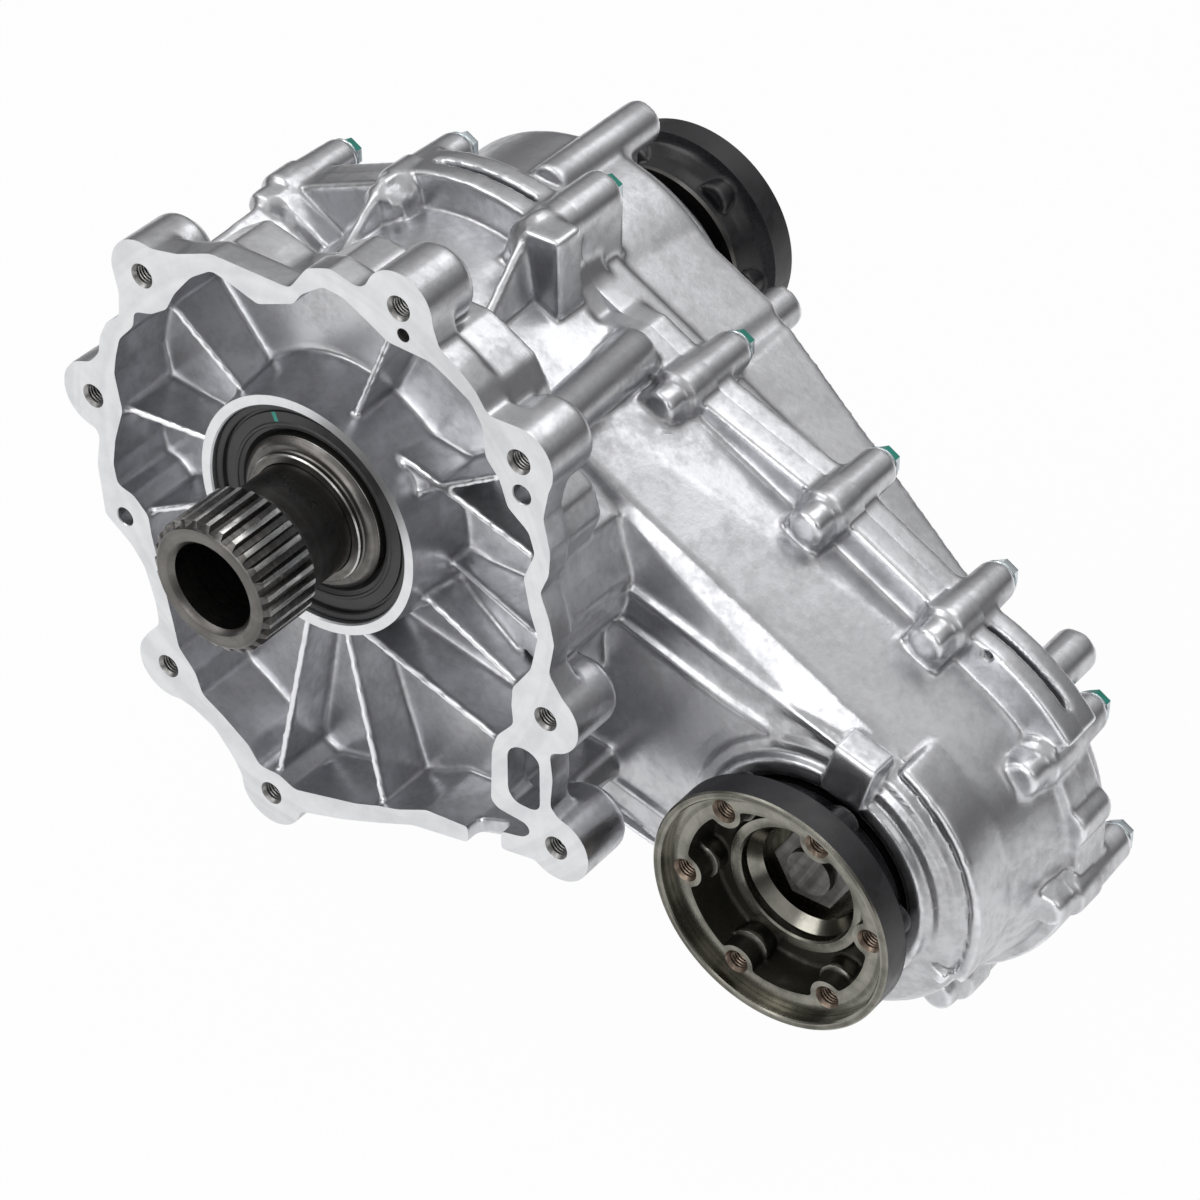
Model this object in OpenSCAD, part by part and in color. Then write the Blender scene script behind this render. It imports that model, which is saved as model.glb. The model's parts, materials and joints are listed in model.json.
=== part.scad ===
// Full-time transfer case: a ribbed die-cast case in two halves, a hollow
// splined input shaft, a planetary centre differential, a toothed chain to
// the front output and two bolt-on output flanges.
// The input axis is the Y axis. The transmission bolts on at y = 0 and -Y
// points at it. The rear propeller shaft leaves towards +Y. Millimetres.

/* [Bell and case] */
// Depth of the thick rim of the bell that the transmission bolts to
bell_rim_depth = 14; // [10:0.5:18]
// Depth of the open bell from its face to its floor
bell_floor_depth = 33; // [31:0.5:36]
// Thickness of the floor behind the open bell
bell_floor_thick = 6; // [5:0.5:8]
// Depth of the chain case's front face behind the bell's face
chain_case_face = 58; // [56:0.5:60]
// Thickness of the bell's side wall behind its rim
bell_wall = 5.5; // [4:0.25:8]
// Radius of the round lugs around the bell's threaded holes
bell_lug_radius = 17.2; // [15:0.2:18]
// Length of the round lugs around the bell's threaded holes
bell_lug_length = 33; // [31:0.5:40]
// Radius of the bell's threaded holes, tapped for M10 bolts
bell_thread_radius = 4.25; // [4:0.05:5]
// Depth of the bell's threaded holes
bell_thread_depth = 27; // [22:0.5:29]
// Radius of the two dowel holes in the bell's face
bell_dowel_radius = 4.5; // [4:0.1:5]
// Depth of the two dowel holes in the bell's face
bell_dowel_depth = 11; // [8:0.5:13]
// Thickness of the ribs in the bell
rib_thick = 3.6; // [3:0.2:5]
// Depth of the ribs' front edges at the bell's rim
rib_rim_depth = 2.5; // [1:0.5:6]
// Depth of the ribs' front edges at the hub
rib_hub_depth = 11; // [9:0.5:14]
// Outer radius of the hub tube at the bell's face
hub_radius = 58; // [57:0.25:60]
// Growth of the hub tube's radius down to the bell's floor
hub_draft = 5; // [3:0.5:7]
// Position of the joint between the two case halves
seam_y = 129; // [128:0.25:130]
// Radius of the case around the input axis, at the joint
case_radius = 89; // [88:0.25:90]
// Thickness of each half's flange at the joint
seam_flange = 12; // [10:0.5:14]
// Thickness of the case walls
case_wall = 6; // [5:0.25:7]
// Radius of the bosses around the joint's bolts
seam_boss_radius = 10; // [9:0.25:11.5]
// Length of the joint's bolt columns on the rear half
seam_column = 29.5; // [27:0.5:34]
// Width of the slots for a pry bar between the halves
pry_gap = 3; // [2:0.25:3.8]
// Radius of the round stubs on the rear half
stub_radius = 10.5; // [9:0.25:12]
// Radius of the stubs' threaded holes, tapped for M10 bolts
stub_thread_radius = 4.25; // [4:0.05:5]

/* [Joint fasteners] */
// Radius of the joint's bolts
bolt_radius = 4; // [3.5:0.1:4.5]
// Depth of the bolts' thread in the front half
bolt_grip = 24; // [18:0.5:26]
// Width across the flats of the bolts' heads
bolt_flats = 12; // [11:0.25:13]
// Height of the bolts' heads
bolt_head = 6.5; // [5:0.25:8]
// Radius of the flange under the bolts' heads
bolt_flange_radius = 8.4; // [7.5:0.1:9]
// Room for a socket around the bolts' heads
socket_room = 1.6; // [1.2:0.1:2.4]
// Radius of the dowels between the halves
seam_dowel_radius = 5; // [4.5:0.1:5.5]

/* [Input shaft] */
// Distance from the bell's face to the shaft's open end
shaft_reach = 63; // [58:0.5:68]
// Radius of the shaft's bore
shaft_bore_radius = 20.6; // [19.5:0.1:21.5]
// Depth of the shaft's bore behind the bell's face
shaft_bore_depth = 30; // [20:0.5:36]
// Number of splines on the shaft
spline_teeth = 28; // [24:1:32]
// Radius over the splines
spline_tip_radius = 31.8; // [31:0.1:32.5]
// Radius at the foot of the splines
spline_root_radius = 29; // [28.5:0.1:29.5]
// Length of the splines
spline_length = 33; // [28:0.5:34]
// Radius of the shaft's neck
neck_radius = 26.5; // [26:0.1:27]
// Radius of the shaft's seat in its bearing
input_seat_radius = 29; // [28.5:0.1:29.5]
// Radius of the shaft inside the sun gear
inner_shaft_radius = 21; // [20:0.1:21.5]

/* [Planetary differential] */
// Module of the planetary gears
gear_module = 2; // [1.98:0.01:2.02]
// Thinning of each tooth at the pitch circle, for running play
tooth_play = 0.26; // [0.2:0.02:0.36]
// Thickness of the planetary gears
planet_width = 25; // [22:0.5:26]
// Radius of the pins that the planet gears run on
planet_pin_radius = 6; // [5.5:0.1:6.5]
// Thickness of the carrier's rear plate
carrier_plate = 8; // [7:0.25:9]
// Thickness of the carrier's front ring
carrier_ring_thick = 5; // [4:0.25:6]
// Thickness of the ring gear's wall outside its teeth
ring_wall = 4; // [3.5:0.1:4.5]
// Thickness of the drum around the ring gear
drum_wall = 3.5; // [3:0.1:4]
// Play at the sides of moving pieces along their axis
side_play = 0.5; // [0.35:0.05:0.8]
// Radial clearance of shafts that turn in bores
running_play = 0.05; // [0.02:0.01:0.08]

/* [Chain drive] */
// Pitch of the chain
chain_pitch = 9.525; // [9.5:0.005:9.55]
// Width of the chain
chain_width = 30; // [26:0.5:31]
// Distance of the chain's front edge from the bell's face
chain_y = 98; // [97:0.25:100]
// Height of the links above the pitch line
link_height = 6; // [5:0.25:6.5]

/* [Output flanges] */
// Radius of the front output flange
front_flange_radius = 59.6; // [58.5:0.1:60.5]
// Distance from the bell's face to the front flange's rim
front_flange_y = 18.6; // [17.5:0.1:20]
// Width of the flanges' rims
flange_rim_width = 14; // [12:0.25:16]
// Pitch-circle radius of the front flange's threaded holes
front_bolt_circle = 46.8; // [45.5:0.1:47.5]
// Radius of the front flange's threaded holes
flange_thread_radius = 4.25; // [4:0.05:4.6]
// Radius of the register inside the front flange's rim
front_register_radius = 55.6; // [55:0.1:56.2]
// Radius of the rear output flange
rear_flange_radius = 55; // [54:0.1:56]
// Distance from the bell's face to the end of the rear flange
rear_flange_end = 287.5; // [286:0.5:289]
// Pitch-circle radius of the rear flange's threaded holes
rear_bolt_circle = 43; // [42:0.1:44]

/* [Hidden] */
$fn = 48;

// Chain drive: both sprockets have the same teeth, so the chain turns them alike.
sprocket_teeth = 40;
chain_links = 94;
chain_angle = -27.13;
span_links = (chain_links - sprocket_teeth) / 2;
centre_distance = span_links * chain_pitch;
chain_dir = [cos(chain_angle), sin(chain_angle)];
output_x = centre_distance * chain_dir[0];
output_z = centre_distance * chain_dir[1];
pitch_radius = chain_pitch / (2 * sin(180 / sprocket_teeth));
sprocket_tip = pitch_radius + 1.6;
sprocket_root = pitch_radius - 3.2;

// Planetary gear train: sun, planets and ring share one module.
sun_teeth = 30;
planet_teeth = 18;
ring_teeth = 66;
planet_count = 4;
planet_orbit = gear_module * (sun_teeth + planet_teeth) / 2;
sun_pitch = gear_module * sun_teeth / 2;
ring_pitch = gear_module * ring_teeth / 2;
ring_root = ring_pitch + 1.25 * gear_module;
ring_outer = ring_root + ring_wall;
drum_outer = ring_outer + drum_wall;

// Stations along the input axis.
bell_back = bell_floor_depth + bell_floor_thick;
case_front = chain_case_face;
cavity_front = case_front + case_wall;
collar_front = -2;
input_bearing_y = 18;
input_bearing_width = 20;
sun_bearing_y = cavity_front + 4;
sun_bearing_width = 18;
chain_back = chain_y + chain_width;
carrier_front = 153;
planet_y = carrier_front + carrier_ring_thick + side_play;
plate_y = planet_y + planet_width + side_play;
plate_back = plate_y + carrier_plate;
drum_plate_y = plate_back + 3;
drum_back = drum_plate_y + 6;
dome_floor = drum_back + 4.5;
dome_back = dome_floor + 9;
shoulder_y = dome_back - 11;
rear_bearing_y = dome_floor + 2;
rear_bearing_width = 18;
rear_seal_y = rear_bearing_y + rear_bearing_width + 4;
hub_back = rear_seal_y + 10;

// Radii of the bearings: [bore, outside].
input_bearing = [input_seat_radius, 50];
sun_bearing = [inner_shaft_radius + 6, 42];
rear_bearing = [25, 45];
front_out_bearing = [20, 40];
tail_bearing = [20, 36];
seal_bore = 53;
hub_tube_radius = 56.5;
collar_radius = 37;

// Stations along the front output axis.
flange_face = front_flange_y + 6;
flange_floor = front_flange_y + 43.5;
output_seal_y = cavity_front - 6;
output_bearing_y = flange_floor + 12;
output_bearing_width = 18;
tail_bearing_y = chain_back + 6;
tail_bearing_width = 16;
tail_wall = tail_bearing_y + tail_bearing_width;
case_tail = tail_wall + case_wall;

// Measured places on the bell's face: [x, z].
bell_holes = [
    [-84.5, 89], [-120, 13], [-88.5, -123.5], [-30.5, -170],
    [55.5, 127.5], [115, 77.5], [127, -49.5], [132, -118.5]
];
bell_dowels = [[-107.3, -47.2], [116.2, 61.8]];
bell_outline = [
    [-101, 85], [-94, 102], [-63.5, 108], [-44.5, 115.5], [-2, 115], [8, 128.5],
    [20, 133], [34.5, 129.5], [55.5, 142.5], [71, 131.5], [76, 116.5], [85, 111],
    [94, 103], [100, 94], [115, 94.5], [130.5, 82], [129.5, 66.5], [127, 54.5],
    [130.5, 38.5], [129.5, 26.5], [125, 16], [129.5, 4], [132, -8], [129, -24.5],
    [141.5, -42.5], [142.5, -52.5], [137.5, -62.5], [129, -67.5], [130.5, -81],
    [129, -97], [141.5, -109], [144.5, -120.5], [130.5, -133], [119.5, -131.5],
    [102, -134.5], [84, -140.5], [52.5, -146.5], [32.5, -155.5], [12, -164],
    [-12, -172], [-30, -180], [-46.5, -170], [-52.5, -159.5], [-62.5, -147.5],
    [-75, -141.5], [-93, -138], [-103, -125.5], [-101, -111], [-92, -101],
    [-93, -89], [-98, -71], [-105, -61.5], [-119.5, -50.5], [-120, -40.5],
    [-121.5, -24.5], [-118.5, -8], [-120.5, -4], [-129.5, -1], [-137, 10],
    [-131.5, 26.5], [-119.5, 31.5], [-114, 38.5], [-113, 46.5], [-108, 56.5],
    [-100, 62.5], [-99, 75]
];
bell_pocket = [
    [-103, 12], [-106, 30.5], [-104, 40.5], [-101, 50.5], [-92, 60.5], [-91, 68.5],
    [-81, 71], [-72, 77], [-66.5, 87], [-56.5, 99], [-44.5, 107], [-32.5, 104],
    [-20, 100], [0, 108], [4, 114], [16, 122.5], [26.5, 121.5], [40.5, 114],
    [49.5, 109], [71, 108], [79, 104], [91, 97], [97, 87], [98, 73], [105, 64.5],
    [109, 52.5], [119.5, 44.5], [122.5, 34.5], [116.5, 20], [119.5, 4],
    [123.5, -8], [119.5, -26.5], [110, -40.5], [109, -50.5], [110, -60.5],
    [101, -71], [98, -81], [97, -109], [101, -112], [116.5, -113], [118.5, -117.5],
    [114, -121.5], [102, -124.5], [84, -131.5], [60.5, -133.5], [44.5, -141.5],
    [32.5, -145.5], [20, -150.5], [-16, -160.5], [-24.5, -156.5], [-36.5, -156.5],
    [-42.5, -147.5], [-56.5, -137.5], [-68.5, -130.5], [-72, -119.5], [-81, -109],
    [-83, -97], [-92, -50.5], [-93, -40.5], [-101, -32.5], [-110, -30.5],
    [-111.5, -20], [-109, -6]
];
// Ribs in the bell: [end at the hub, end at the wall, extra depth at the hub].
bell_ribs = [
    [[-41, 38.5], [-73, 78], 0], [[-56.5, 6.5], [-104, 11], 0],
    [[-52, -21.5], [-95, -40.8], 0], [[19.8, 53.5], [47.5, 109.5], 0],
    [[40, 42.2], [118.5, 29.5], 1.5], [[50, 26.8], [102.3, 62.8], 1.5],
    [[57, -12.2], [121, -11], 13], [[51.5, -24.5], [110, -41.5], 0],
    [[7, -57.5], [97.5, -76.8], 0], [[7, -55], [32.6, -144], 0],
    [[-10, -55], [-28, -158.5], 0]
];
// Corners of the flat pad between two of the ribs.
bell_pad = [[39, 41], [50, 27], [67, 38]];
// Bolts of the joint, [x, z]: the first nine are seen, the rest mirror them.
function beside_chain(s, p) = [
    s * chain_dir[0] - p * chain_dir[1],
    s * chain_dir[1] + p * chain_dir[0]
];
seam_bolts_at = concat(
    [
        [-106, 62.5], [-38.5, 90], [40.5, 97], [111, 44.5], [187, 15],
        [output_x + 19.6, output_z + 99.3], [output_x + 69.1, output_z + 51.8],
        [output_x + 86.6, output_z - 12.2], [output_x + 36.1, output_z - 89.7]
    ],
    [for (s = [centre_distance - 2, 190, 122, 55]) beside_chain(s, -97)],
    [[-62, -93], [-110, -30]]
);
seam_dowels_at = [[-76, 62], [output_x + 84.2, output_z + 21]];
// The joint's edge dips towards the case between its third and fourth bolts.
seam_dip = [at_angle(94, 60), at_angle(88, 53), at_angle(87, 42.5), at_angle(104, 34.5)];
seam_corners = [
    for (i = [0:len(seam_bolts_at) - 1], p = i == 2 ? concat([seam_bolts_at[i]], seam_dip) : [seam_bolts_at[i]])
        p
];

// Helpers.

// Extrude a shape drawn in x and z from y0 to y1.
module along_y(y0, y1) {
    translate([0, y1, 0])
        rotate([90, 0, 0])
            linear_extrude(y1 - y0)
                children();
}

// A round bar or cone along Y, at [x, z].
module rod_y(r, y0, y1, at = [0, 0], r2 = undef) {
    translate([at[0], y0, at[1]])
        rotate([-90, 0, 0])
            cylinder(h = y1 - y0, r1 = r, r2 = is_undef(r2) ? r : r2);
}

// A ring along Y, at [x, z].
module ring_y(r_in, r_out, y0, y1, at = [0, 0]) {
    difference() {
        rod_y(r_out, y0, y1, at);
        rod_y(r_in, y0 - 1, y1 + 1, at);
    }
}

// Turn a profile of [radius, y] points about the Y axis at [x, z].
module turned(points, at = [0, 0]) {
    translate([at[0], 0, at[1]])
        rotate([-90, 0, 0])
            rotate_extrude($fn = 96)
                polygon(points);
}

// Round off the corners of a flat shape.
module softened(r) {
    offset(r = -r)
        offset(r = 2 * r)
            offset(r = -r)
                children();
}

// The case's plan: a disc on each axis, joined by straight sides.
module case_slab(r_input, r_output, y) {
    rod_y(r_input, y, y + 0.01, $fn = 72);
    rod_y(r_output, y, y + 0.01, [output_x, output_z], $fn = 72);
}

// The case's plan drawn out from one size at y0 to another at y1.
module case_body(y0, sizes0, y1, sizes1) {
    hull() {
        case_slab(sizes0[0], sizes0[1], y0);
        case_slab(sizes1[0], sizes1[1], y1 - 0.01);
    }
}

// A plate from one [x, z] place to another, its edge going from y0 to y1.
module web(from, to, y0, y1, back, thick) {
    reach = norm(to - from);
    translate([from[0], 0, from[1]])
        rotate([0, -atan2(to[1] - from[1], to[0] - from[0]), 0])
            translate([0, 0, -thick / 2])
                linear_extrude(thick)
                    polygon([[0, y0], [reach, y1], [reach, back], [0, back]]);
}

function involute(a) = tan(a) * 180 / PI - a;
function half_tooth(r, pitch, teeth, play) =
    90 / teeth - play * 90 / (PI * pitch) + involute(20)
    - (r > pitch * cos(20) ? involute(acos(pitch * cos(20) / r)) : 0);
function at_angle(r, a) = [r * cos(a), r * sin(a)];

// A gear's outline, with involute flanks and play taken off each flank.
module gear_shape(teeth, root, tip, play, first = 0) {
    pitch = gear_module * teeth / 2;
    radii = [root, pitch * cos(20), (pitch + pitch * cos(20)) / 2, pitch, (pitch + tip) / 2, tip];
    used = [for (r = radii) if (r >= root) r];
    polygon([
        for (k = [0:teeth - 1], side = [-1, 1], i = [0:len(used) - 1])
            let (
                r = side < 0 ? used[i] : used[len(used) - 1 - i],
                a = first + k * 360 / teeth + side * half_tooth(r, pitch, teeth, play)
            )
            at_angle(r, a)
    ]);
}

// A toothed wheel or spline with plain flanks: half widths at root and tip.
module toothed_shape(teeth, root, tip, half_root, half_tip, first = 0) {
    polygon([
        for (k = [0:teeth - 1], p = [[root, -half_root], [tip, -half_tip], [tip, half_tip], [root, half_root]])
            at_angle(p[0], first + k * 360 / teeth + p[1] * 180 / (PI * p[0]))
    ]);
}

// Bearings.

// Ball radius and pitch radius for a bearing's two radii.
function ball_radius(b) = (b[1] - b[0]) * 0.3;
function ball_circle(b) = (b[1] + b[0]) / 2;
function ball_count(b) = floor(180 / asin((ball_radius(b) + 0.8) / ball_circle(b)));

module bearing_ring(r0, r1, y, width, b, at) {
    difference() {
        ring_y(r0, r1, y, y + width, at);
        translate([at[0], y + width / 2, at[1]])
            rotate([90, 0, 0])
                rotate_extrude($fn = 96)
                    translate([ball_circle(b), 0])
                        circle(r = ball_radius(b) + 0.02);
    }
}

module bearing_outer(b, y, width, at = [0, 0]) {
    color("lightgray")
        bearing_ring(ball_circle(b) + ball_radius(b) * 0.45, b[1], y, width, b, at);
}

module bearing_inner(b, y, width, at = [0, 0]) {
    color("silver")
        bearing_ring(b[0], ball_circle(b) - ball_radius(b) * 0.45, y, width, b, at);
}

module bearing_balls(b, y, width, at = [0, 0]) {
    color("gainsboro")
        for (k = [0:ball_count(b) - 1])
            translate([at[0], y + width / 2, at[1]])
                rotate([0, k * 360 / ball_count(b), 0])
                    translate([ball_circle(b), 0, 0])
                        sphere(r = ball_radius(b));
}

module snap_ring(r_in, r_out, y, thick, at = [0, 0]) {
    color("dimgray")
        difference() {
            ring_y(r_in, r_out, y, y + thick, at);
            translate([at[0] + r_in - 2, y - 1, at[1] - 3])
                cube([r_out - r_in + 4, thick + 2, 6]);
        }
}

// A shaft seal: a steel-backed rubber ring with an inward lip.
module shaft_seal(r_lip, r_out, y, depth, at = [0, 0]) {
    color("black")
        turned([
            [r_out, y], [r_out, y + depth], [r_out - 3, y + depth],
            [r_out - 3, y + 3.5], [r_lip + 4, y + 4.5], [r_lip, y + depth - 1.5],
            [r_lip, y + depth - 4], [r_lip + 1.5, y + 2.6], [r_lip + 5, y + 1.6],
            [r_out - 4.5, y + 1.6], [r_out - 4, y]
        ], at);
}

// Case.

module bell_hole_cuts() {
    for (p = bell_holes) {
        rod_y(bell_thread_radius, -1, bell_thread_depth, p);
        rod_y(bell_thread_radius + 1.95, -1, 0.95, p, bell_thread_radius);
    }
    for (p = bell_dowels)
        rod_y(bell_dowel_radius, -1, bell_dowel_depth, p);
    rod_y(3, -1, 8, [57.5, 115.5]);
}

module bell() {
    difference() {
        union() {
            along_y(0, bell_rim_depth)
                softened(3)
                    polygon(bell_outline);
            along_y(bell_rim_depth - 1, bell_back)
                offset(r = bell_wall)
                    polygon(bell_pocket);
            for (p = bell_holes)
                rod_y(bell_lug_radius, 0, bell_lug_length - 6, p);
            for (p = bell_holes)
                rod_y(bell_lug_radius, bell_lug_length - 6, bell_lug_length, p, bell_lug_radius - 6);
        }
        along_y(-1, bell_floor_depth)
            softened(3)
                polygon(bell_pocket);
        rim_window();
        translate([84, -1, -142])
            cube([18, 9, 22]);
    }
}

// The rounded window through the rim's wide lobe.
module rim_window() {
    along_y(-1, bell_rim_depth + 6)
        intersection() {
            translate([106.5, -103.5])
                square([17, 32]);
            union() {
                translate([115.5, -81])
                    circle(r = 9.5);
                translate([115.5, -95])
                    circle(r = 9.5);
                translate([106.5, -95])
                    square([18, 14]);
            }
        }
}

module bell_rib_set() {
    intersection() {
        union() {
            for (w = bell_ribs)
                web(w[0], w[1], rib_hub_depth + w[2], rib_rim_depth, bell_floor_depth + 1, rib_thick);
            along_y(rib_hub_depth + 3, bell_floor_depth + 1)
                polygon(bell_pad);
            floor_ramp();
        }
        along_y(0, bell_back)
            offset(delta = 1)
                polygon(bell_pocket);
    }
}

// The bell's floor rises towards the rim between two of the ribs.
module floor_ramp() {
    web([58, -19], [121, -26.5], bell_floor_depth - 2, rib_rim_depth + 9.5, bell_floor_depth + 1, 22);
}

module seam_outline() {
    union() {
        offset(r = 4)
            polygon(seam_corners);
        circle(r = case_radius + 2.3);
        translate([output_x, output_z])
            circle(r = 92);
        for (p = seam_dowels_at)
            translate(p)
                circle(r = seam_dowel_radius + 4.5);
        intersection() {
            circle(r = 107);
            polygon([[0, 0], at_angle(200, 68), at_angle(200, 112)]);
        }
        translate([output_x, output_z])
            intersection() {
                circle(r = 105);
                polygon([[0, 0], at_angle(200, 38), at_angle(200, 78)]);
            }
    }
}

// Slots at the joint, where a pry bar parts the halves.
module pry_cuts() {
    for (s = [[0, 0, 107, 75, 105], [output_x, output_z, 105, 45, 72]])
        translate([s[0], seam_y, s[1]])
            along_y(-pry_gap / 2, pry_gap / 2)
                difference() {
                    polygon([[0, 0], at_angle(150, s[3]), at_angle(150, s[4])]);
                    circle(r = s[2] - 9);
                }
}

module seam_bosses_front() {
    for (p = seam_bolts_at) {
        rod_y(seam_boss_radius + 1.5, seam_y - seam_flange - 4, seam_y, p);
        rod_y(seam_boss_radius - 1.5, seam_y - bolt_grip - 5, seam_y - seam_flange, p);
    }
}

// A plate standing out from the input axis, its profile in [radius, y].
module radial_plate(angle, thick, profile) {
    rotate([0, -angle, 0])
        translate([0, 0, -thick / 2])
            linear_extrude(thick)
                polygon(profile);
}

// The nearest place to p on the line between the two axes.
function nearest_axis(p) = min(max(p * chain_dir, 0), centre_distance) * chain_dir;

// Webs and blocks outside the front half, around the bell and the joint's bosses.
module outer_webs() {
    // Plates from the bell to the joint: [bolt, radius at the bell].
    for (w = [[0, 122], [12, 150], [13, 150], [14, 120]])
        let (p = seam_bolts_at[w[0]], out = norm(p) + 3)
            radial_plate(atan2(p[1], p[0]), 7, [
                [60, bell_rim_depth - 2], [w[1], bell_rim_depth - 2],
                [out, seam_y - seam_flange], [out, seam_y - 2], [60, seam_y - 2]
            ]);
    // Blocks under the joint's bosses, down to the case.
    for (p = seam_bolts_at)
        let (foot = nearest_axis(p))
            web(foot + (p - foot) * 0.6, p, seam_y - 25, seam_y - 25, seam_y - seam_flange + 1, 20);
    // Thin gussets in front of two of the bosses.
    web([-36, 66], [-39.5, 101], 50, 106, seam_y - seam_flange + 1, 5.5);
    web([46, 68], [39, 110], 50, 109, seam_y - seam_flange + 1, 5.5);
    bolt_tower(seam_y - 24, seam_y);
    translate([41, seam_y - 29, 66])
        cube([19, 18, 42]);
    // The bulge from the bell's corner to the joint.
    hull() {
        rod_y(11, 20, 24, [105, 70]);
        rod_y(12, seam_y - seam_flange - 4, seam_y - seam_flange + 1, [88, 56]);
    }
}

// The solid tower around the joint's third bolt, over both halves.
module bolt_tower(y0, y1) {
    rod_y(seam_boss_radius + 1.5, y0, y1, seam_bolts_at[2]);
    translate([seam_bolts_at[2][0] - seam_boss_radius - 1.4, y0 + 0.1, 66])
        cube([2 * seam_boss_radius + 2.8, y1 - y0 - 0.2, seam_bolts_at[2][1] - 66]);
}

// Long raised lines on the case's front face: [from, to].
module front_lines() {
    for (w = [
        [[108, -9], [236, -48]], [[92, -25], [180, -52]], [[178, -51.5], [232, -62]],
        [[109, -121], [176, -139]], [[96, -139], [182, -160]]
    ])
        web(w[0], w[1], case_front - 2.4, case_front - 2.4, case_front + 3, 3);
}

// Hub on the front half around the front output shaft.
module output_hub() {
    translate([output_x, 0, output_z]) {
        rod_y(57, case_front - 8, case_front + 4);
        rod_y(64, case_front - 3.5, case_front + 4);
        rod_y(69, case_front - 1, case_front + 8, [0, 0], 76);
        rod_y(47, case_front, output_bearing_y + output_bearing_width + 1);
        rotate([0, -74, 0])
            translate([52, case_front - 12, -10.5])
                cube([27, 16, 21]);
        intersection() {
            ring_y(74, 79, case_front + 1, case_front + 24);
            along_y(case_front, case_front + 25)
                polygon([[0, 0], at_angle(120, -24), at_angle(120, 18), at_angle(120, 62)]);
        }
        rotate([0, 24, 0])
            translate([56, case_front - 4.5, -3.5])
                cube([17, 9, 7]);
    }
}

module front_case_bores() {
    rod_y(seal_bore, -1, 16);
    rod_y(input_bearing[1], 15, input_bearing_y + input_bearing_width);
    rod_y(input_bearing[1] + 1.5, input_bearing_y - 2, input_bearing_y);
    rod_y(43, input_bearing_y, sun_bearing_y - 2);
    rod_y(sun_bearing[1] - 4, sun_bearing_y - 6, sun_bearing_y + 30);
    rod_y(sun_bearing[1], sun_bearing_y, sun_bearing_y + 30);
    translate([output_x, 0, output_z]) {
        rod_y(48, case_front - 9, output_seal_y - 1);
        rod_y(44, output_seal_y - 2, output_seal_y + 11);
        rod_y(36, output_seal_y, output_bearing_y + 30);
        rod_y(front_out_bearing[1], output_bearing_y, output_bearing_y + 60);
    }
}

// Space for the chain in the front half, and around the hub's tube behind the bell.
module front_cavity() {
    case_body(cavity_front, [case_radius - 9, 58], seam_y + 1, [case_radius - 6.5, 79]);
    difference() {
        along_y(bell_back + 0.5, cavity_front + 2)
            intersection() {
                case_plan(case_radius - 9.2, 51);
                polygon(bell_pocket);
            }
        rod_y(hub_tube_radius - 0.5, bell_back - 1, cavity_front + 3);
    }
}

// The case's plan as a flat shape.
module case_plan(r_input, r_output) {
    side = acos((r_input - r_output) / centre_distance);
    output = [output_x, output_z];
    circle(r = r_input, $fn = 72);
    translate(output)
        circle(r = r_output, $fn = 72);
    polygon([
        at_angle(r_input - 0.3, chain_angle + side), at_angle(r_input - 0.3, chain_angle - side),
        output + at_angle(r_output - 0.3, chain_angle - side),
        output + at_angle(r_output - 0.3, chain_angle + side)
    ]);
}

module front_case() {
    color("lightsteelblue")
        difference() {
            union() {
                bell();
                rod_y(hub_radius, 0, bell_back, [0, 0], hub_radius + hub_draft);
                bell_rib_set();
                difference() {
                    union() {
                        along_y(bell_back - 2, case_front + 1)
                            intersection() {
                                case_plan(case_radius - 3.5, 56.5);
                                offset(r = bell_wall)
                                    polygon(bell_pocket);
                            }
                        case_body(case_front, [case_radius - 3, 57], case_front + 10, [case_radius - 1, 75]);
                        case_body(case_front + 10, [case_radius - 1, 75], seam_y - seam_flange, [case_radius, 86]);
                        along_y(seam_y - seam_flange, seam_y)
                            seam_outline();
                        front_lines();
                    }
                    front_cavity();
                }
                rod_y(hub_tube_radius, bell_back - 1, cavity_front + 1);
                rod_y(48, cavity_front - 2, sun_bearing_y + sun_bearing_width + 1);
                output_hub();
                outer_webs_trimmed();
                seam_bosses_front();
                drain_boss();
            }
            front_case_bores();
            bell_hole_cuts();
            pry_cuts();
            for (p = seam_bolts_at)
                rod_y(bolt_radius, seam_y - bolt_grip, seam_y + 1, p);
            for (p = seam_dowels_at)
                rod_y(seam_dowel_radius, seam_y - 8, seam_y + 1, p);
            drain_cut();
            rod_y(2.2, seam_y - 14, seam_y - 6, [269, -24]);
        }
}

// The outer webs, kept clear of the bell's pocket and the chain's space.
module outer_webs_trimmed() {
    difference() {
        outer_webs();
        along_y(-1, bell_back - 2)
            polygon(bell_pocket);
        front_cavity();
    }
}

drain_at = [output_x - 6, chain_y + 2, output_z];
drain_face = -101;

module drain_boss() {
    translate([drain_at[0], drain_at[1], drain_at[2] + drain_face])
        cylinder(h = 26, r = 14);
}

module drain_cut() {
    translate([drain_at[0], drain_at[1], drain_at[2] + drain_face - 1])
        cylinder(h = 40, r = 8);
}

// Rear half: its rear face falls away from the dome towards the front output.
// Stubs on the rear half: [place, start, end].
rear_stubs = [
    [[5, 83], 165, 237.5], [[87, 18], 165, 232.5],
    [[output_x + 53, output_z + 69], seam_y + 4, 172]
];

module under_rear_face(drop) {
    rotate([0, -chain_angle, 0])
        translate([0, 0, -150])
            linear_extrude(300)
                polygon([
                    [-150, seam_y - 20], [-150, shoulder_y - drop], [70, shoulder_y - drop],
                    [centre_distance, case_tail - drop], [centre_distance + 130, case_tail - drop],
                    [centre_distance + 130, seam_y - 20]
                ]);
}

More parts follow.
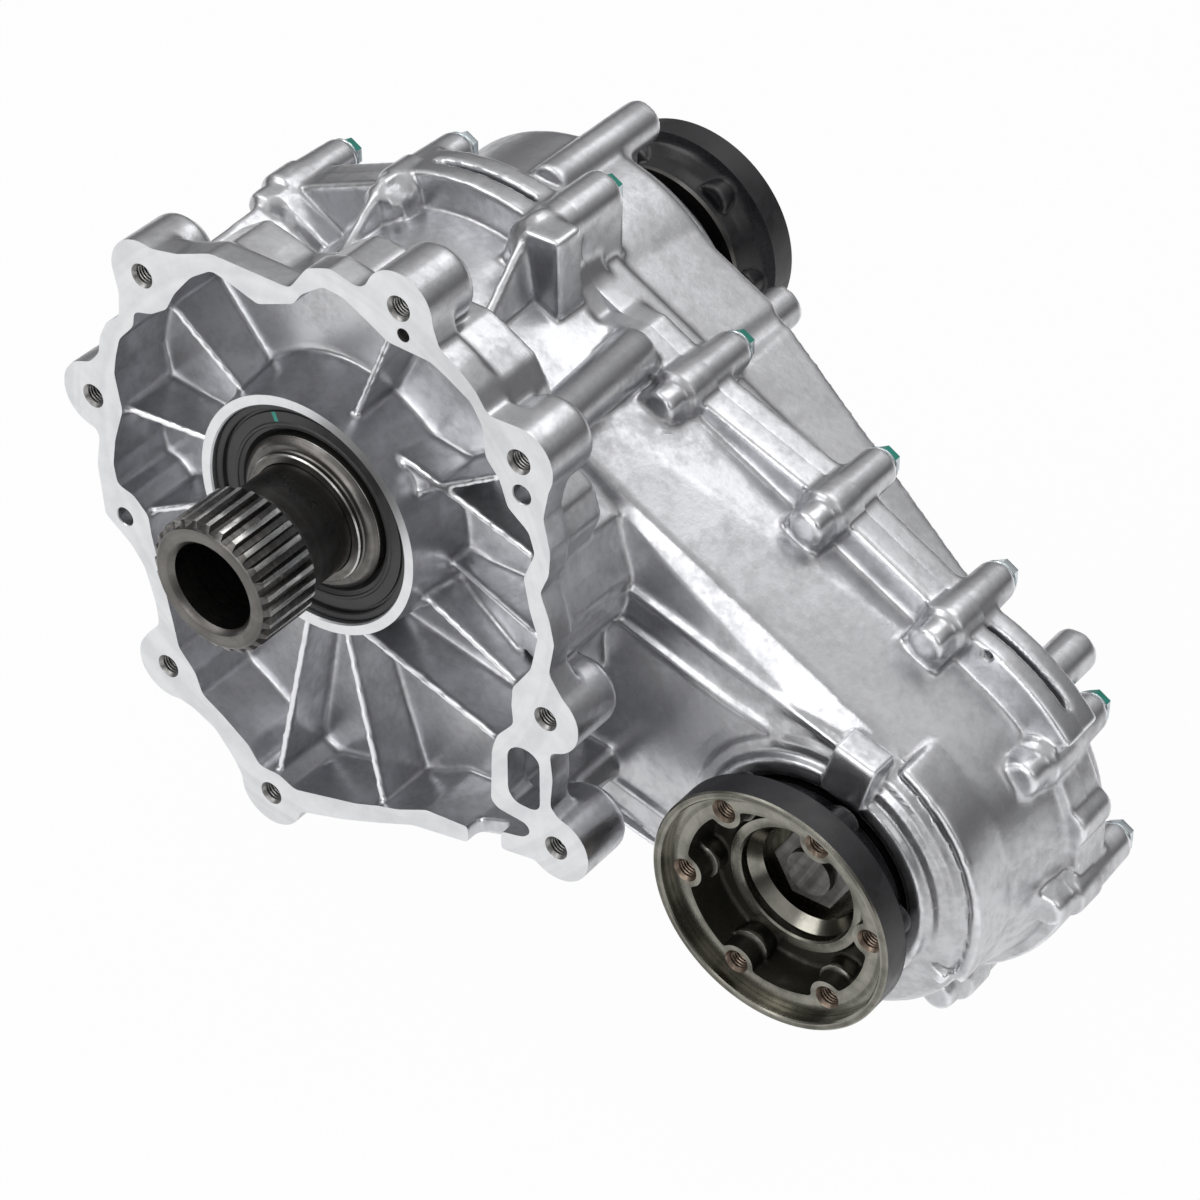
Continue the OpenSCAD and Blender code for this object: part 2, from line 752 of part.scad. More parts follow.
module rear_shell() {
    intersection() {
        union() {
            case_body(seam_y, [case_radius + 0.4, 86], seam_y + 24, [case_radius - 0.6, 84]);
            case_body(seam_y + 20, [85, 79], dome_back + 20, [83, 76]);
        }
        under_rear_face(0);
    }
}

module rear_cavity() {
    rod_y(drum_outer + 4.2, seam_y - 1, dome_floor);
    intersection() {
        case_body(seam_y - 1, [drum_outer + 3.5, 74], dome_back + 20, [drum_outer + 3.5, 70]);
        under_rear_face(case_wall);
    }
}

fill_at = [centre_distance - 62, -34];
fill_face = case_tail + 25;

module rear_case() {
    color("lightsteelblue")
        difference() {
            union() {
                along_y(seam_y, seam_y + seam_flange)
                    seam_outline();
                for (p = seam_bolts_at)
                    rod_y(seam_boss_radius + 0.5, seam_y, seam_y + seam_column, p, seam_boss_radius - 0.5);
                rear_shell();
                bolt_tower(seam_y, seam_y + seam_column);
                rod_y(86.5, seam_y + 10, dome_back - 10);
                rod_y(86.5, dome_back - 10, dome_back, [0, 0], 78);
                rod_y(53, dome_back - 2, hub_back, [0, 0], 51);
                rod_y(42, seam_y + 2, tail_wall + 2, [output_x, output_z]);
                for (s = rear_stubs)
                    rod_y(stub_radius, s[1], s[2], s[0]);
                web([5, 83], [0, 45], 160, 160, 231, 9);
                web([87, 18], [50, 8], 160, 160, 226, 8);
                fill_boss();
                rear_ribs();
            }
            difference() {
                rear_cavity();
                rod_y(42, seam_y + 2, tail_wall + 2, [output_x, output_z]);
                fill_boss();
            }
            rod_y(rear_bearing[1], dome_floor - 1, rear_bearing_y + rear_bearing_width);
            rod_y(40, dome_floor - 1, rear_seal_y + 1);
            rod_y(rear_bearing[1], rear_seal_y, hub_back + 1);
            rod_y(tail_bearing[1], seam_y - 1, tail_wall, [output_x, output_z]);
            pry_cuts();
            for (p = seam_bolts_at) {
                rod_y(bolt_radius, seam_y - 1, seam_y + seam_column + 1, p);
                rod_y(bolt_flange_radius + socket_room, seam_y + seam_column, dome_back, p);
            }
            for (p = seam_dowels_at)
                rod_y(seam_dowel_radius, seam_y - 1, seam_y + 8, p);
            fill_cut();
            breather_cut();
            for (s = rear_stubs)
                rod_y(stub_thread_radius, s[2] - 18, s[2] + 1, s[0]);
        }
}

module rear_ribs() {
    for (a = [150, 190, 230, 265])
        web(at_angle(50, a), at_angle(85, a), dome_back + 12, dome_back + 1, dome_back - 4, 6);
    rotate([0, -chain_angle, 0])
        for (p = [-30, 0, 30])
            translate([80, 0, p])
                linear_extrude(4)
                    polygon([
                        [0, dome_back - 16], [0, dome_back - 8],
                        [centre_distance - 100, case_tail + 9], [centre_distance - 100, case_tail - 2]
                    ]);
}

module fill_boss() {
    rotate([0, -chain_angle, 0])
        translate([fill_at[0], 0, fill_at[1]])
            rod_y(15, case_tail, fill_face);
}

module fill_cut() {
    rotate([0, -chain_angle, 0])
        translate([fill_at[0], 0, fill_at[1]])
            rod_y(9, case_tail - 8, fill_face + 1);
}

module breather_cut() {
    translate([-95, dome_floor - 28, 0])
        rotate([0, 90, 0])
            cylinder(h = 30, r = 4);
}

// Case fittings.

module seam_bolts() {
    color("gainsboro")
        for (p = seam_bolts_at)
            translate([p[0], seam_y + seam_column, p[1]]) {
                rod_y(bolt_radius, -seam_column - bolt_grip + 2, 0.5);
                rod_y(bolt_flange_radius, 0, 1.6);
                rod_y(bolt_flats / sqrt(3), 1, bolt_head, $fn = 6);
            }
}

module locating_dowels() {
    color("silver")
        for (p = seam_dowels_at)
            ring_y(seam_dowel_radius - 1.4, seam_dowel_radius, seam_y - 8, seam_y + 8, p);
}

module fill_plug() {
    color("gainsboro")
        rotate([0, -chain_angle, 0])
            translate([fill_at[0], 0, fill_at[1]]) {
                rod_y(9, fill_face - 12, fill_face + 1);
                rod_y(13, fill_face, fill_face + 3);
                rod_y(10, fill_face + 2, fill_face + 10, $fn = 6);
            }
}

module drain_plug() {
    color("gainsboro")
        translate([drain_at[0], drain_at[1], drain_at[2] + drain_face]) {
            translate([0, 0, -1])
                cylinder(h = 13, r = 8);
            translate([0, 0, -3])
                cylinder(h = 3, r = 12);
            translate([0, 0, -10])
                cylinder(h = 8, r = 9.5, $fn = 6);
        }
}

module chip_magnet() {
    color("dimgray")
        translate([drain_at[0], drain_at[1], drain_at[2] + drain_face + 12])
            cylinder(h = 5, r = 5);
}

module breather() {
    color("silver")
        translate([-86.5, dome_floor - 28, 0])
            rotate([0, -90, 0])
                difference() {
                    union() {
                        translate([0, 0, -5])
                            cylinder(h = 22, r = 4);
                        cylinder(h = 3, r = 6.5);
                        translate([0, 0, 9])
                            cylinder(h = 5, r1 = 5.2, r2 = 4);
                    }
                    translate([0, 0, -6])
                        cylinder(h = 30, r = 2);
                }
}

module input_seal() {
    shaft_seal(collar_radius + running_play, seal_bore, 3, 10);
}

module input_snap_ring() {
    snap_ring(input_bearing[1] - 3.5, input_bearing[1] + 1.5, input_bearing_y - 2, 2);
}

module input_bearing_outer() {
    bearing_outer(input_bearing, input_bearing_y, input_bearing_width);
}

module input_bearing_balls() {
    bearing_balls(input_bearing, input_bearing_y, input_bearing_width);
}

module input_bearing_inner() {
    bearing_inner(input_bearing, input_bearing_y, input_bearing_width);
}

module sun_bearing_outer() {
    bearing_outer(sun_bearing, sun_bearing_y, sun_bearing_width);
}

module sun_bearing_balls() {
    bearing_balls(sun_bearing, sun_bearing_y, sun_bearing_width);
}

module sun_bearing_inner() {
    bearing_inner(sun_bearing, sun_bearing_y, sun_bearing_width);
}

module rear_bearing_outer() {
    bearing_outer(rear_bearing, rear_bearing_y, rear_bearing_width);
}

module rear_bearing_balls() {
    bearing_balls(rear_bearing, rear_bearing_y, rear_bearing_width);
}

module rear_bearing_inner() {
    bearing_inner(rear_bearing, rear_bearing_y, rear_bearing_width);
}

module front_out_bearing_outer() {
    bearing_outer(front_out_bearing, output_bearing_y, output_bearing_width, [output_x, output_z]);
}

module front_out_bearing_balls() {
    bearing_balls(front_out_bearing, output_bearing_y, output_bearing_width, [output_x, output_z]);
}

module front_out_bearing_inner() {
    bearing_inner(front_out_bearing, output_bearing_y, output_bearing_width, [output_x, output_z]);
}

module tail_bearing_outer() {
    bearing_outer(tail_bearing, tail_bearing_y, tail_bearing_width, [output_x, output_z]);
}

module tail_bearing_balls() {
    bearing_balls(tail_bearing, tail_bearing_y, tail_bearing_width, [output_x, output_z]);
}

module tail_bearing_inner() {
    bearing_inner(tail_bearing, tail_bearing_y, tail_bearing_width, [output_x, output_z]);
}

module front_output_seal() {
    shaft_seal(flange_neck + running_play, 44, output_seal_y, 10, [output_x, output_z]);
}

module rear_output_seal() {
    shaft_seal(flange_neck + running_play, rear_bearing[1], rear_seal_y, 10);
}

// Input side.

module input_shaft() {
    spline_end = -shaft_reach + spline_length;
    color("dimgray")
        difference() {
            union() {
                intersection() {
                    along_y(-shaft_reach, spline_end)
                        toothed_shape(spline_teeth, spline_root_radius, spline_tip_radius, 1.9, 1.15);
                    turned([
                        [0, -shaft_reach - 1], [spline_root_radius - 0.6, -shaft_reach - 1],
                        [spline_root_radius - 0.6, -shaft_reach], [spline_tip_radius + 0.2, -shaft_reach + 2.6],
                        [spline_tip_radius + 0.2, spline_end - 2], [spline_root_radius - 1, spline_end + 1],
                        [0, spline_end + 1]
                    ]);
                }
                rod_y(spline_root_radius - 0.4, spline_end - 2.5, spline_end + 1, [0, 0], neck_radius);
                rod_y(neck_radius, spline_end - 1, input_bearing_y);
                rod_y(input_seat_radius, input_bearing_y, input_bearing_y + input_bearing_width);
                rod_y(input_seat_radius + 3, input_bearing_y + input_bearing_width, input_bearing_y + input_bearing_width + 6);
                rod_y(inner_shaft_radius, input_bearing_y + input_bearing_width, plate_back);
            }
            rod_y(shaft_bore_radius, -shaft_reach - 1, shaft_bore_depth);
            rod_y(shaft_bore_radius + 3, -shaft_reach - 1, -shaft_reach + 2.4, [0, 0], shaft_bore_radius);
        }
}

module input_collar() {
    color("slategray")
        turned([
            [neck_radius, collar_front], [neck_radius + 4.5, collar_front], [neck_radius + 4.5, collar_front + 3],
            [collar_radius - 3, collar_front + 3], [collar_radius, collar_front + 6],
            [collar_radius, input_bearing_y - 3.5], [input_bearing[0] + 4, input_bearing_y],
            [neck_radius, input_bearing_y]
        ]);
}

function planet_at(k) = at_angle(planet_orbit, k * 360 / planet_count);

module planet_carrier() {
    color("slategray")
        difference() {
            rod_y(planet_orbit + 10, plate_y, plate_back);
            rod_y(inner_shaft_radius, plate_y - 1, plate_back + 1);
            for (k = [0:planet_count - 1])
                rod_y(planet_pin_radius, plate_y - 1, plate_back + 1, planet_at(k));
            for (k = [0:planet_count - 1])
                rod_y(7, plate_y - 1, plate_back + 1, at_angle(planet_orbit - 6, 45 + k * 90));
        }
}

module carrier_ring() {
    color("slategray")
        difference() {
            ring_y(sun_pitch + 5.5, planet_orbit + 10, carrier_front, carrier_front + carrier_ring_thick);
            for (k = [0:planet_count - 1])
                rod_y(planet_pin_radius, carrier_front - 1, carrier_front + carrier_ring_thick + 1, planet_at(k));
        }
}

module planet_pins() {
    color("silver")
        for (k = [0:planet_count - 1])
            rod_y(planet_pin_radius, carrier_front, plate_back, planet_at(k));
}

module planet(k) {
    at = planet_at(k);
    color("darkgray")
        difference() {
            translate([at[0], 0, at[1]])
                along_y(planet_y, planet_y + planet_width)
                    gear_shape(
                        planet_teeth, gear_module * (planet_teeth / 2 - 1.25),
                        gear_module * (planet_teeth / 2 + 0.9), tooth_play, 180 / planet_teeth
                    );
            rod_y(planet_pin_radius + running_play, planet_y - 1, planet_y + planet_width + 1, at);
        }
}

module planet_1() {
    planet(0);
}

module planet_2() {
    planet(1);
}

module planet_3() {
    planet(2);
}

module planet_4() {
    planet(3);
}

module thrust_washer() {
    color("goldenrod")
        ring_y(inner_shaft_radius, inner_shaft_radius + 6, plate_y - 1.6, plate_y);
}

module sun_gear() {
    sleeve_front = cavity_front + 2;
    color("darkgray")
        difference() {
            union() {
                rod_y(sun_bearing[0], sleeve_front, chain_y);
                rod_y(sprocket_bore, chain_y - 5, chain_back);
                rod_y(sprocket_bore + 3.5, chain_back, chain_back + 4);
                rod_y(sun_pitch - 1.25 * gear_module, chain_back, plate_y - 2);
                along_y(carrier_front + carrier_ring_thick, plate_y - 2)
                    gear_shape(
                        sun_teeth, gear_module * (sun_teeth / 2 - 1.25),
                        gear_module * (sun_teeth / 2 + 0.9), tooth_play
                    );
            }
            rod_y(inner_shaft_radius + running_play, sleeve_front - 1, plate_y);
            ring_y(sprocket_bore - 1.2, sprocket_bore + 5, chain_y - 2, chain_y);
        }
}

sprocket_bore = sun_bearing[0] + 3.5;
output_shaft_radius = 24;
flange_neck = 31;
shield_bore = 38;
shield_set = 31.4;

module sprocket(bore, at) {
    color("gray")
        difference() {
            translate([at[0], 0, at[1]])
                along_y(chain_y, chain_back)
                    toothed_shape(
                        sprocket_teeth, sprocket_root, sprocket_tip, 2.6, 1.3,
                        chain_angle + 180 / sprocket_teeth
                    );
            rod_y(bore, chain_y - 1, chain_back + 1, at);
            ring_y(bore + 7, sprocket_root - 7, chain_y - 1, chain_y + 9, at);
            ring_y(bore + 7, sprocket_root - 7, chain_back - 9, chain_back + 1, at);
        }
}

module drive_sprocket() {
    sprocket(sprocket_bore, [0, 0]);
}

module driven_sprocket() {
    sprocket(output_shaft_radius, [output_x, output_z]);
}

module drive_sprocket_ring() {
    snap_ring(sprocket_bore - 1.2, sprocket_bore + 3.5, chain_y - 2, 2);
}

module driven_sprocket_ring() {
    snap_ring(output_shaft_radius - 1.2, output_shaft_radius + 3.5, chain_y - 2, 2, [output_x, output_z]);
}

// One chain link, t along the chain and n away from the sprocket.
module link_shape() {
    half = chain_pitch / 2 - 0.16;
    polygon([
        [-half, link_height - 1], [-half + 1.5, link_height], [half - 1.5, link_height], [half, link_height - 1],
        [half, 0], [half - 0.4, -2.6], [2.95, -2.6], [1.8, 2.1],
        [-1.8, 2.1], [-2.95, -2.6], [-half + 0.4, -2.6], [-half, 0]
    ]);
}

module drive_chain() {
    apothem = pitch_radius * cos(180 / sprocket_teeth);
    half_wrap = sprocket_teeth / 2;
    color("dimgray")
        rotate([0, -chain_angle, 0])
            translate([0, chain_back - 0.5, 0])
                rotate([90, 0, 0])
                    linear_extrude(chain_width - 1) {
                        for (side = [0, 180], k = [0:span_links - 1])
                            translate([side == 0 ? 0 : centre_distance, 0])
                                rotate(side)
                                    translate([(k + 0.5) * chain_pitch, pitch_radius])
                                        link_shape();
                        for (k = [0:half_wrap - 1])
                            rotate((k + 0.5) * 360 / sprocket_teeth)
                                translate([0, apothem])
                                    link_shape();
                        for (k = [0:half_wrap - 1])
                            translate([centre_distance, 0])
                                rotate(180 + (k + 0.5) * 360 / sprocket_teeth)
                                    translate([0, apothem])
                                        link_shape();
                    }
}

// Rear output.

module ring_gear() {
    color("darkgray")
        difference() {
            rod_y(ring_outer, planet_y, planet_y + planet_width, $fn = 96);
            along_y(planet_y - 1, planet_y + planet_width + 1)
                gear_shape(
                    ring_teeth, gear_module * (ring_teeth / 2 - 0.9), ring_root, -tooth_play,
                    180 / ring_teeth
                );
        }
}

module ring_drum() {
    color("slategray")
        turned([
            [ring_outer, planet_y], [drum_outer, planet_y], [drum_outer, drum_back - 3],
            [drum_outer - 3, drum_back], [28, drum_back], [28, drum_plate_y],
            [ring_outer, drum_plate_y]
        ]);
}

module rear_output_shaft() {
    color("dimgray")
        turned([
            [0, drum_plate_y], [28, drum_plate_y], [28, rear_bearing_y],
            [rear_bearing[0], rear_bearing_y], [rear_bearing[0], rear_bearing_y + rear_bearing_width],
            [19, rear_bearing_y + rear_bearing_width], [19, rear_neck_end],
            [11, rear_neck_end], [11, rear_neck_end + 13], [0, rear_neck_end + 13]
        ]);
}

rear_neck_start = rear_bearing_y + rear_bearing_width;
rear_neck_end = rear_flange_end - 36;

// A bolt-on flange, its rim at y = 0 and its neck towards +Y.
module flange_body(radius, register, circle_radius, floor_y, neck_end, shaft_bore) {
    land = circle_radius - 1.3;
    difference() {
        union() {
            turned([
                [24, 21], [33.5, 21], [34.5, 25], [land - 0.5, 25], [land, 6], [register, 6],
                [register, 0], [radius - 1, 0], [radius, 1], [radius, flange_rim_width],
                [radius - 5, flange_rim_width + 2.5], [radius - 9, 22], [radius - 11.5, 29],
                [shield_bore, shield_set], [shield_bore, shield_set + 2.5], [flange_neck, 37],
                [flange_neck, neck_end], [shaft_bore, neck_end], [shaft_bore, floor_y],
                [24, floor_y]
            ]);
            for (k = [0:5])
                rod_y(8.4, 6, 26, at_angle(circle_radius, 6 + 60 * k));
            for (k = [0:5])
                rod_y(9.5, flange_rim_width + 1, 27, at_angle(circle_radius - 1.5, 6 + 60 * k), 7);
        }
        for (k = [0:5]) {
            rod_y(flange_thread_radius, 5, flange_rim_width + 6, at_angle(circle_radius, 6 + 60 * k));
            rod_y(flange_thread_radius + 1.6, 5.5, 7.1, at_angle(circle_radius, 6 + 60 * k), flange_thread_radius);
        }
        turned([[20, 20], [28.5, 20], [28.5, 26], [23.9, 31.5], [20, 31.5]]);
    }
}

module front_output_flange() {
    color("black")
        translate([output_x, front_flange_y, output_z])
            flange_body(
                front_flange_radius, front_register_radius, front_bolt_circle,
                flange_floor - front_flange_y, output_bearing_y - front_flange_y, 16
            );
}

module rear_output_flange() {
    color("black")
        translate([0, rear_flange_end, 0])
            rotate([0, 0, 180])
                flange_body(
                    rear_flange_radius, rear_flange_radius - 4, rear_bolt_circle,
                    rear_flange_end - rear_neck_end, rear_flange_end - rear_neck_start, 19
                );
}

module hex_nut(y0, y1, bore, flats, at = [0, 0]) {
    color("gainsboro")
        difference() {
            rod_y(flats / sqrt(3), y0, y1, at, $fn = 6);
            rod_y(bore, y0 - 1, y1 + 1, at);
        }
}

module front_flange_nut() {
    hex_nut(flange_floor - 10, flange_floor, 11, 34, [output_x, output_z]);
}

module rear_flange_nut() {
    hex_nut(rear_neck_end, rear_neck_end + 10, 11, 34);
}

module dust_shield(r_out, y, at = [0, 0]) {
    color("dimgray")
        ring_y(shield_bore, r_out, y, y + 2.5, at);
}

module front_dust_shield() {
    dust_shield(46, front_flange_y + shield_set, [output_x, output_z]);
}

module rear_dust_shield() {
    dust_shield(46, rear_flange_end - shield_set - 2.5);
}

module front_output_shaft() {
    color("dimgray")
        turned([
            [0, flange_floor - 13], [11, flange_floor - 13], [11, flange_floor], [16, flange_floor],
            [16, output_bearing_y], [front_out_bearing[0], output_bearing_y],
            [front_out_bearing[0], output_bearing_y + output_bearing_width],
            [output_shaft_radius, output_bearing_y + output_bearing_width],
            [output_shaft_radius, chain_y - 2], [output_shaft_radius - 1.2, chain_y - 2],
            [output_shaft_radius - 1.2, chain_y], [output_shaft_radius, chain_y],
            [output_shaft_radius, chain_back], [output_shaft_radius + 4, chain_back],
            [output_shaft_radius + 4, tail_bearing_y], [tail_bearing[0], tail_bearing_y],
            [tail_bearing[0], tail_wall - 1], [0, tail_wall - 1]
        ], [output_x, output_z]);
}

front_case();
rear_case();
seam_bolts();
locating_dowels();
fill_plug();
drain_plug();
chip_magnet();
breather();
input_seal();
input_snap_ring();
front_output_seal();
rear_output_seal();
input_bearing_outer();
input_bearing_balls();
input_bearing_inner();
sun_bearing_outer();
sun_bearing_balls();
sun_bearing_inner();
rear_bearing_outer();
rear_bearing_balls();
rear_bearing_inner();
front_out_bearing_outer();
front_out_bearing_balls();
front_out_bearing_inner();
tail_bearing_outer();
tail_bearing_balls();
tail_bearing_inner();
input_shaft();
input_collar();
planet_carrier();
carrier_ring();
planet_pins();
thrust_washer();
planet_1();
planet_2();
planet_3();
planet_4();
sun_gear();
drive_sprocket();
drive_sprocket_ring();
drive_chain();
driven_sprocket();
driven_sprocket_ring();
ring_gear();
ring_drum();
rear_output_shaft();
rear_output_flange();
rear_flange_nut();
rear_dust_shield();
front_output_shaft();
front_output_flange();
front_flange_nut();
front_dust_shield();
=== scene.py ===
"""Looks of a full-time transfer case, built around its packed construction model."""

import json
import logging
import math
from dataclasses import dataclass, fields
from enum import Enum
from typing import Iterable, Mapping, Sequence

import bmesh
import bpy
import numpy as np
from mathutils import Matrix, Vector


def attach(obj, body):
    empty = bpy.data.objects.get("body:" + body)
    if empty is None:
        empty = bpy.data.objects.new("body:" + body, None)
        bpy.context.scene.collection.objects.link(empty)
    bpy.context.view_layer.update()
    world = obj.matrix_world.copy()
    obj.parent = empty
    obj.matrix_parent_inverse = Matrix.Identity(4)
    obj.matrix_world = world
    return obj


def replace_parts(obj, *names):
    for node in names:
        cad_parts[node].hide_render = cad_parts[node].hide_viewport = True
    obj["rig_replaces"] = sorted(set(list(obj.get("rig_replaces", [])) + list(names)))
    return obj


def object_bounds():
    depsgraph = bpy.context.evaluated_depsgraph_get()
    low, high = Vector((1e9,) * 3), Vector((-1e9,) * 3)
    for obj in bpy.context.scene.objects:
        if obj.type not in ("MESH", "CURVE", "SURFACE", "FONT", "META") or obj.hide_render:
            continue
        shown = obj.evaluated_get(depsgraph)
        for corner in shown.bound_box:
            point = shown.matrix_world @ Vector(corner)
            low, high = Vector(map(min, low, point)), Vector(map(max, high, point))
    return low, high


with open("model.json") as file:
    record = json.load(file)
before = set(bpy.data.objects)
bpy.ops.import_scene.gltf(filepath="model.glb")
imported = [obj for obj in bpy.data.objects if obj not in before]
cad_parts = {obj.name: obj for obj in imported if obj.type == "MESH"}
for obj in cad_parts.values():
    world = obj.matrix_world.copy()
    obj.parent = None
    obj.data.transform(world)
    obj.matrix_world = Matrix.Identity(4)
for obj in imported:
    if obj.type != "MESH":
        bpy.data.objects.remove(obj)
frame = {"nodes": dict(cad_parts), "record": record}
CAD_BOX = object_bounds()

log = logging.getLogger("transfer_case")

MM = 0.001
CREASE = 32.0
FULL_EDGE = 420.0
PAD_SMOOTHING = 14

# The chain drive sets where the front output lies, in millimetres.
CHAIN_PITCH = 9.525
SPAN_LINKS = 27
CHAIN_ANGLE = math.radians(-27.13)
CENTRE_DISTANCE = SPAN_LINKS * CHAIN_PITCH
INPUT_AXIS = (0.0, 0.0)
OUTPUT_AXIS = (CENTRE_DISTANCE * math.cos(CHAIN_ANGLE), CENTRE_DISTANCE * math.sin(CHAIN_ANGLE))

# Stations along the input axis, in millimetres behind the bell's face.
CASE_FRONT = 58.0
CAVITY_FRONT = 64.0
SEAM = 129.0
SEAM_COLUMN = 29.5
HUB_BACK = 239.5

# Fittings that keep their construction mesh and get their edges broken.
BEVELLED = ("fill_plug", "drain_plug", "breather", "front_flange_nut", "rear_flange_nut")


class Body(str, Enum):
    """The moving bodies of the construction model."""

    CASE = "case"
    INPUT = "input_carrier"
    FRONT = "front_output"
    REAR = "rear_output"


class Slot(str, Enum):
    """The record's material slots."""

    CAST = "cast_aluminium"
    ZINC = "zinc_bolt"
    BEARING = "bearing_steel"
    DARK = "dark_steel"
    GROUND = "ground_steel"
    GEAR = "gear_steel"
    RUBBER = "seal_rubber"
    BRASS = "washer_brass"
    PAINT = "black_paint"


Point = tuple[float, float]
Triple = tuple[float, float, float]


class Sheet:
    """A node tree that is written one node at a time."""

    def __init__(self, tree: bpy.types.NodeTree) -> None:
        """Start on a tree.

        Args:
            tree: The material's or group's node tree.
        """
        self.tree = tree
        self.count = 0

    def add(self, kind: str, **inputs: object) -> bpy.types.Node:
        """Add a node, set its inputs by name and link those that are sockets.

        Args:
            kind: The node's Blender type.
            inputs: Values or sockets, with underscores for spaces; names in lower
                case set the node's own properties.

        Returns:
            The new node.
        """
        node = self.tree.nodes.new(kind)
        node.location = (220 * self.count, -60 * (self.count % 5))
        self.count += 1
        for key, value in inputs.items():
            if key[0].islower() and hasattr(node, key):
                setattr(node, key, value)
                continue
            name = key.replace("_", " ")
            socket = node.inputs[int(name[1:])] if name[1:].isdigit() else node.inputs[name]
            if isinstance(value, bpy.types.NodeSocket):
                self.tree.links.new(value, socket)
            else:
                socket.default_value = value
        return node

    def math(self, operation: str, a: object, b: object = 0.0) -> bpy.types.NodeSocket:
        """A math node's result.

        Args:
            operation: The operation's name.
            a: First value or socket.
            b: Second value or socket.

        Returns:
            The output socket.
        """
        return self.add("ShaderNodeMath", operation=operation, I0=a, I1=b).outputs[0]

    def noise(self, **inputs: object) -> bpy.types.NodeSocket:
        """The value of a noise texture with these inputs."""
        return self.add("ShaderNodeTexNoise", **inputs).outputs[0]

    def effect(self, tree: bpy.types.NodeTree, **inputs: object) -> Mapping[str, bpy.types.NodeSocket]:
        """Place a node group and give its outputs by name."""
        return self.add("ShaderNodeGroup", node_tree=tree, **inputs).outputs

    def blend(self, *parts: tuple[bpy.types.NodeSocket, float]) -> bpy.types.NodeSocket:
        """The sum of values, each times its share."""
        shares = [self.math("MULTIPLY", value, share) for value, share in parts]
        total = shares[0]
        for value in shares[1:]:
            total = self.math("ADD", total, value)
        return total

    def mix(self, factor: object, a: object, b: object) -> bpy.types.NodeSocket:
        """A colour between a and b.

        Args:
            factor: Share of b.
            a: First colour.
            b: Second colour.

        Returns:
            The colour socket.
        """
        node = self.add("ShaderNodeMix", data_type="RGBA")
        for index, value in ((0, factor), (6, a), (7, b)):
            if isinstance(value, bpy.types.NodeSocket):
                self.tree.links.new(value, node.inputs[index])
            else:
                node.inputs[index].default_value = value if index == 0 else (*value, 1.0)
        return node.outputs[2]

    def band(
        self, value: object, low: float, high: float, to_low: float = 0.0, to_high: float = 1.0,
    ) -> bpy.types.NodeSocket:
        """Map a range of a value smoothly onto another range.

        Args:
            value: The value's socket.
            low: Start of the range.
            high: End of the range.
            to_low: Result at the start.
            to_high: Result at the end.

        Returns:
            The mapped socket.
        """
        node = self.add("ShaderNodeMapRange", Value=value, From_Min=low, From_Max=high, To_Min=to_low, To_Max=to_high)
        node.interpolation_type = "SMOOTHSTEP"
        return node.outputs[0]


def new_group(
    name: str, settings: dict[str, float], results: Sequence[str],
) -> tuple[bpy.types.NodeTree, Sheet, bpy.types.Node, bpy.types.Node]:
    """Make an empty shader node group that reads a vector and some settings.

    Args:
        name: The group's name.
        settings: Default of each number that it reads.
        results: Names of the values that it puts out.

    Returns:
        The group, a sheet on it, and its input and output nodes.
    """
    tree = bpy.data.node_groups.new(name, "ShaderNodeTree")
    tree.interface.new_socket(name="Vector", in_out="INPUT", socket_type="NodeSocketVector")
    for label, default in settings.items():
        tree.interface.new_socket(name=label, in_out="INPUT", socket_type="NodeSocketFloat").default_value = default
    for label in results:
        tree.interface.new_socket(name=label, in_out="OUTPUT", socket_type="NodeSocketFloat")
    sheet = Sheet(tree)
    return tree, sheet, sheet.add("NodeGroupInput"), sheet.add("NodeGroupOutput")


